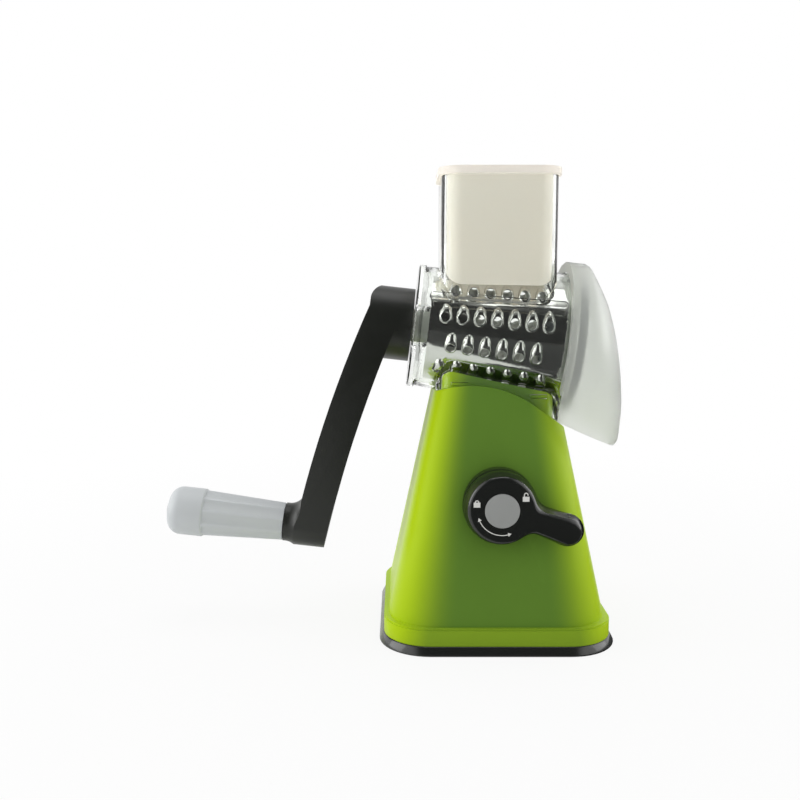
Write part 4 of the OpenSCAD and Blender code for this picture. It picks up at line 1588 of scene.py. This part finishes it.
@dataclass
class Studio:
    """Pale floor, white surroundings, soft lamps and the camera."""

    camera_place: Point = (-0.052, -0.506, 0.187)
    camera_pitch: float = 6.92
    lens: float = 40.5
    lamps: tuple[tuple[str, Point, float, float], ...] = (
        ("lamp_left", (-1.3, -0.15, 0.45), 0.9, 6.5),
        ("lamp_right", (1.3, -0.05, 0.5), 0.9, 4.5),
        ("lamp_top", (0.0, 0.1, 1.3), 0.8, 3.5))
    lamp_aim: Point = (0.0, 0.0, 0.12)
    ambient: float = 0.58
    side_ambient: Climb = (0.2, 0.9, 0.1)
    mirrored_back: Climb = (0.1, 0.8, 0.9)
    mirrored_sides: Climb = (0.35, 0.65, 1.5)
    mirrored_top: Climb = (0.8, 1.0, 0.4)
    mirrored_front: float = 0.012
    wall_gleam: float = 0.8
    floor_half: float = 3.0
    # The floor as reflected is painted: pale and glowing in the lit part behind floor_edge, painted
    # nearly black in front of it.
    floor_pale: float = 0.86
    floor_dark: float = 0.01
    floor_glow: float = 0.2
    floor_edge: Pair = (1.4, -0.12)
    floor_white: float = 0.88
    floor_fade: Pair = (0.12, 0.6)

    def build(self) -> None:
        """Make the studio."""
        bpy.context.scene.view_settings.view_transform = "Standard"
        self._camera()
        self._world()
        self._floor()
        for lamp in self.lamps:
            self._lamp(*lamp)

    def _camera(self) -> None:
        """Stand the camera in front of the object."""
        data = bpy.data.cameras.new("camera")
        data.lens = self.lens
        data.sensor_width = 36.0
        camera = bpy.data.objects.new("camera", data)
        camera.location = self.camera_place
        camera.rotation_euler = (math.radians(90 - self.camera_pitch), 0, 0)
        bpy.context.scene.collection.objects.link(camera)
        bpy.context.scene.camera = camera

    def _world(self) -> None:
        """White for what is seen or seen through, dim in front for what is reflected."""
        world = bpy.data.worlds.new("surroundings")
        bpy.context.scene.world = world
        world.use_nodes = True
        tree = Tree(world.node_tree)
        tree.tree.nodes.clear()
        seen, glossy, inside = tree.sight()
        across, behind, up = tree.split(tree.node("ShaderNodeTexCoord").outputs["Generated"])
        sideways = across.math("ABSOLUTE")
        mirror = tree.rise(behind, *self.mirrored_back).larger(
            tree.rise(sideways, *self.mirrored_sides)).larger(
            tree.rise(up, *self.mirrored_top)).larger(
            inside * self.wall_gleam).larger(self.mirrored_front)
        soft = self.ambient + tree.rise(sideways, *self.side_ambient)
        level = seen + (1 - seen) * (glossy * mirror + (1 - glossy) * soft)
        white = tree.node("ShaderNodeBackground", None, {"Color": WHITE, "Strength": level})
        out = tree.node("ShaderNodeOutputWorld")
        plug(tree.tree, out.inputs["Surface"], white.outputs[0])

    def _floor(self) -> None:
        """A pale floor that keeps the object's shadow; in reflections it is painted, glowing where
        it counts as lit and nearly black elsewhere.
        """
        half = self.floor_half
        mesh = bpy.data.meshes.new("floor")
        mesh.from_pydata([(-half, -half, 0), (half, -half, 0), (half, half, 0), (-half, half, 0)],
                         [], [(0, 1, 2, 3)])
        floor = bpy.data.objects.new("floor", mesh)
        bpy.context.scene.collection.objects.link(floor)
        recipe = Recipe("floor_white")
        seen, glossy, inside = recipe.sight()
        right, back, _ = recipe.split(recipe.coordinates)
        # Painted light and shade for reflections: the floor behind this slanted line, or seen
        # inside a clear wall, counts as lit.
        lit = (back > right * self.floor_edge[0] + self.floor_edge[1]).larger(inside)
        pale = self.floor_pale - (self.floor_pale - self.floor_dark) * glossy * (1 - lit)
        grey = recipe.node("ShaderNodeCombineColor", None, {0: pale, 1: pale, 2: pale})
        recipe.set(Base_Color=grey.outputs[0], Roughness=0.9)
        apart = (right * right + back * back).power(0.5)
        whiter = recipe.rise(apart, *self.floor_fade, bottom=self.floor_white)
        light = recipe.node("ShaderNodeEmission", None, {"Color": WHITE, "Strength": 1.0})
        recipe.mix_in(seen * whiter + glossy * lit * self.floor_glow, light)
        mesh.materials.append(recipe.material)

    def _lamp(self, name: str, place: Point, size: float, power: float) -> None:
        """Hang a square lamp that faces the middle of the object.

        Args:
            name: The lamp's name.
            place: Where it hangs, in metres.
            size: Its side in metres.
            power: Its power in watts.
        """
        data = bpy.data.lights.new(name, "AREA")
        data.size = size
        data.energy = power
        lamp = bpy.data.objects.new(name, data)
        lamp.location = place
        aim = Vector(self.lamp_aim) - Vector(place)
        lamp.rotation_euler = aim.to_track_quat("-Z", "Y").to_euler()
        lamp.visible_camera = False
        bpy.context.scene.collection.objects.link(lamp)


def main() -> None:
    """Build the studio and every sub-assembly."""
    logging.basicConfig(level=logging.INFO, format="%(message)s")
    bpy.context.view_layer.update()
    Studio().build()
    for part in (Foot(), Tower(), Lock(), Chamber(), Drum(), Crank(), Press(), Hood()):
        part.build()


if __name__ == "__main__":
    main()
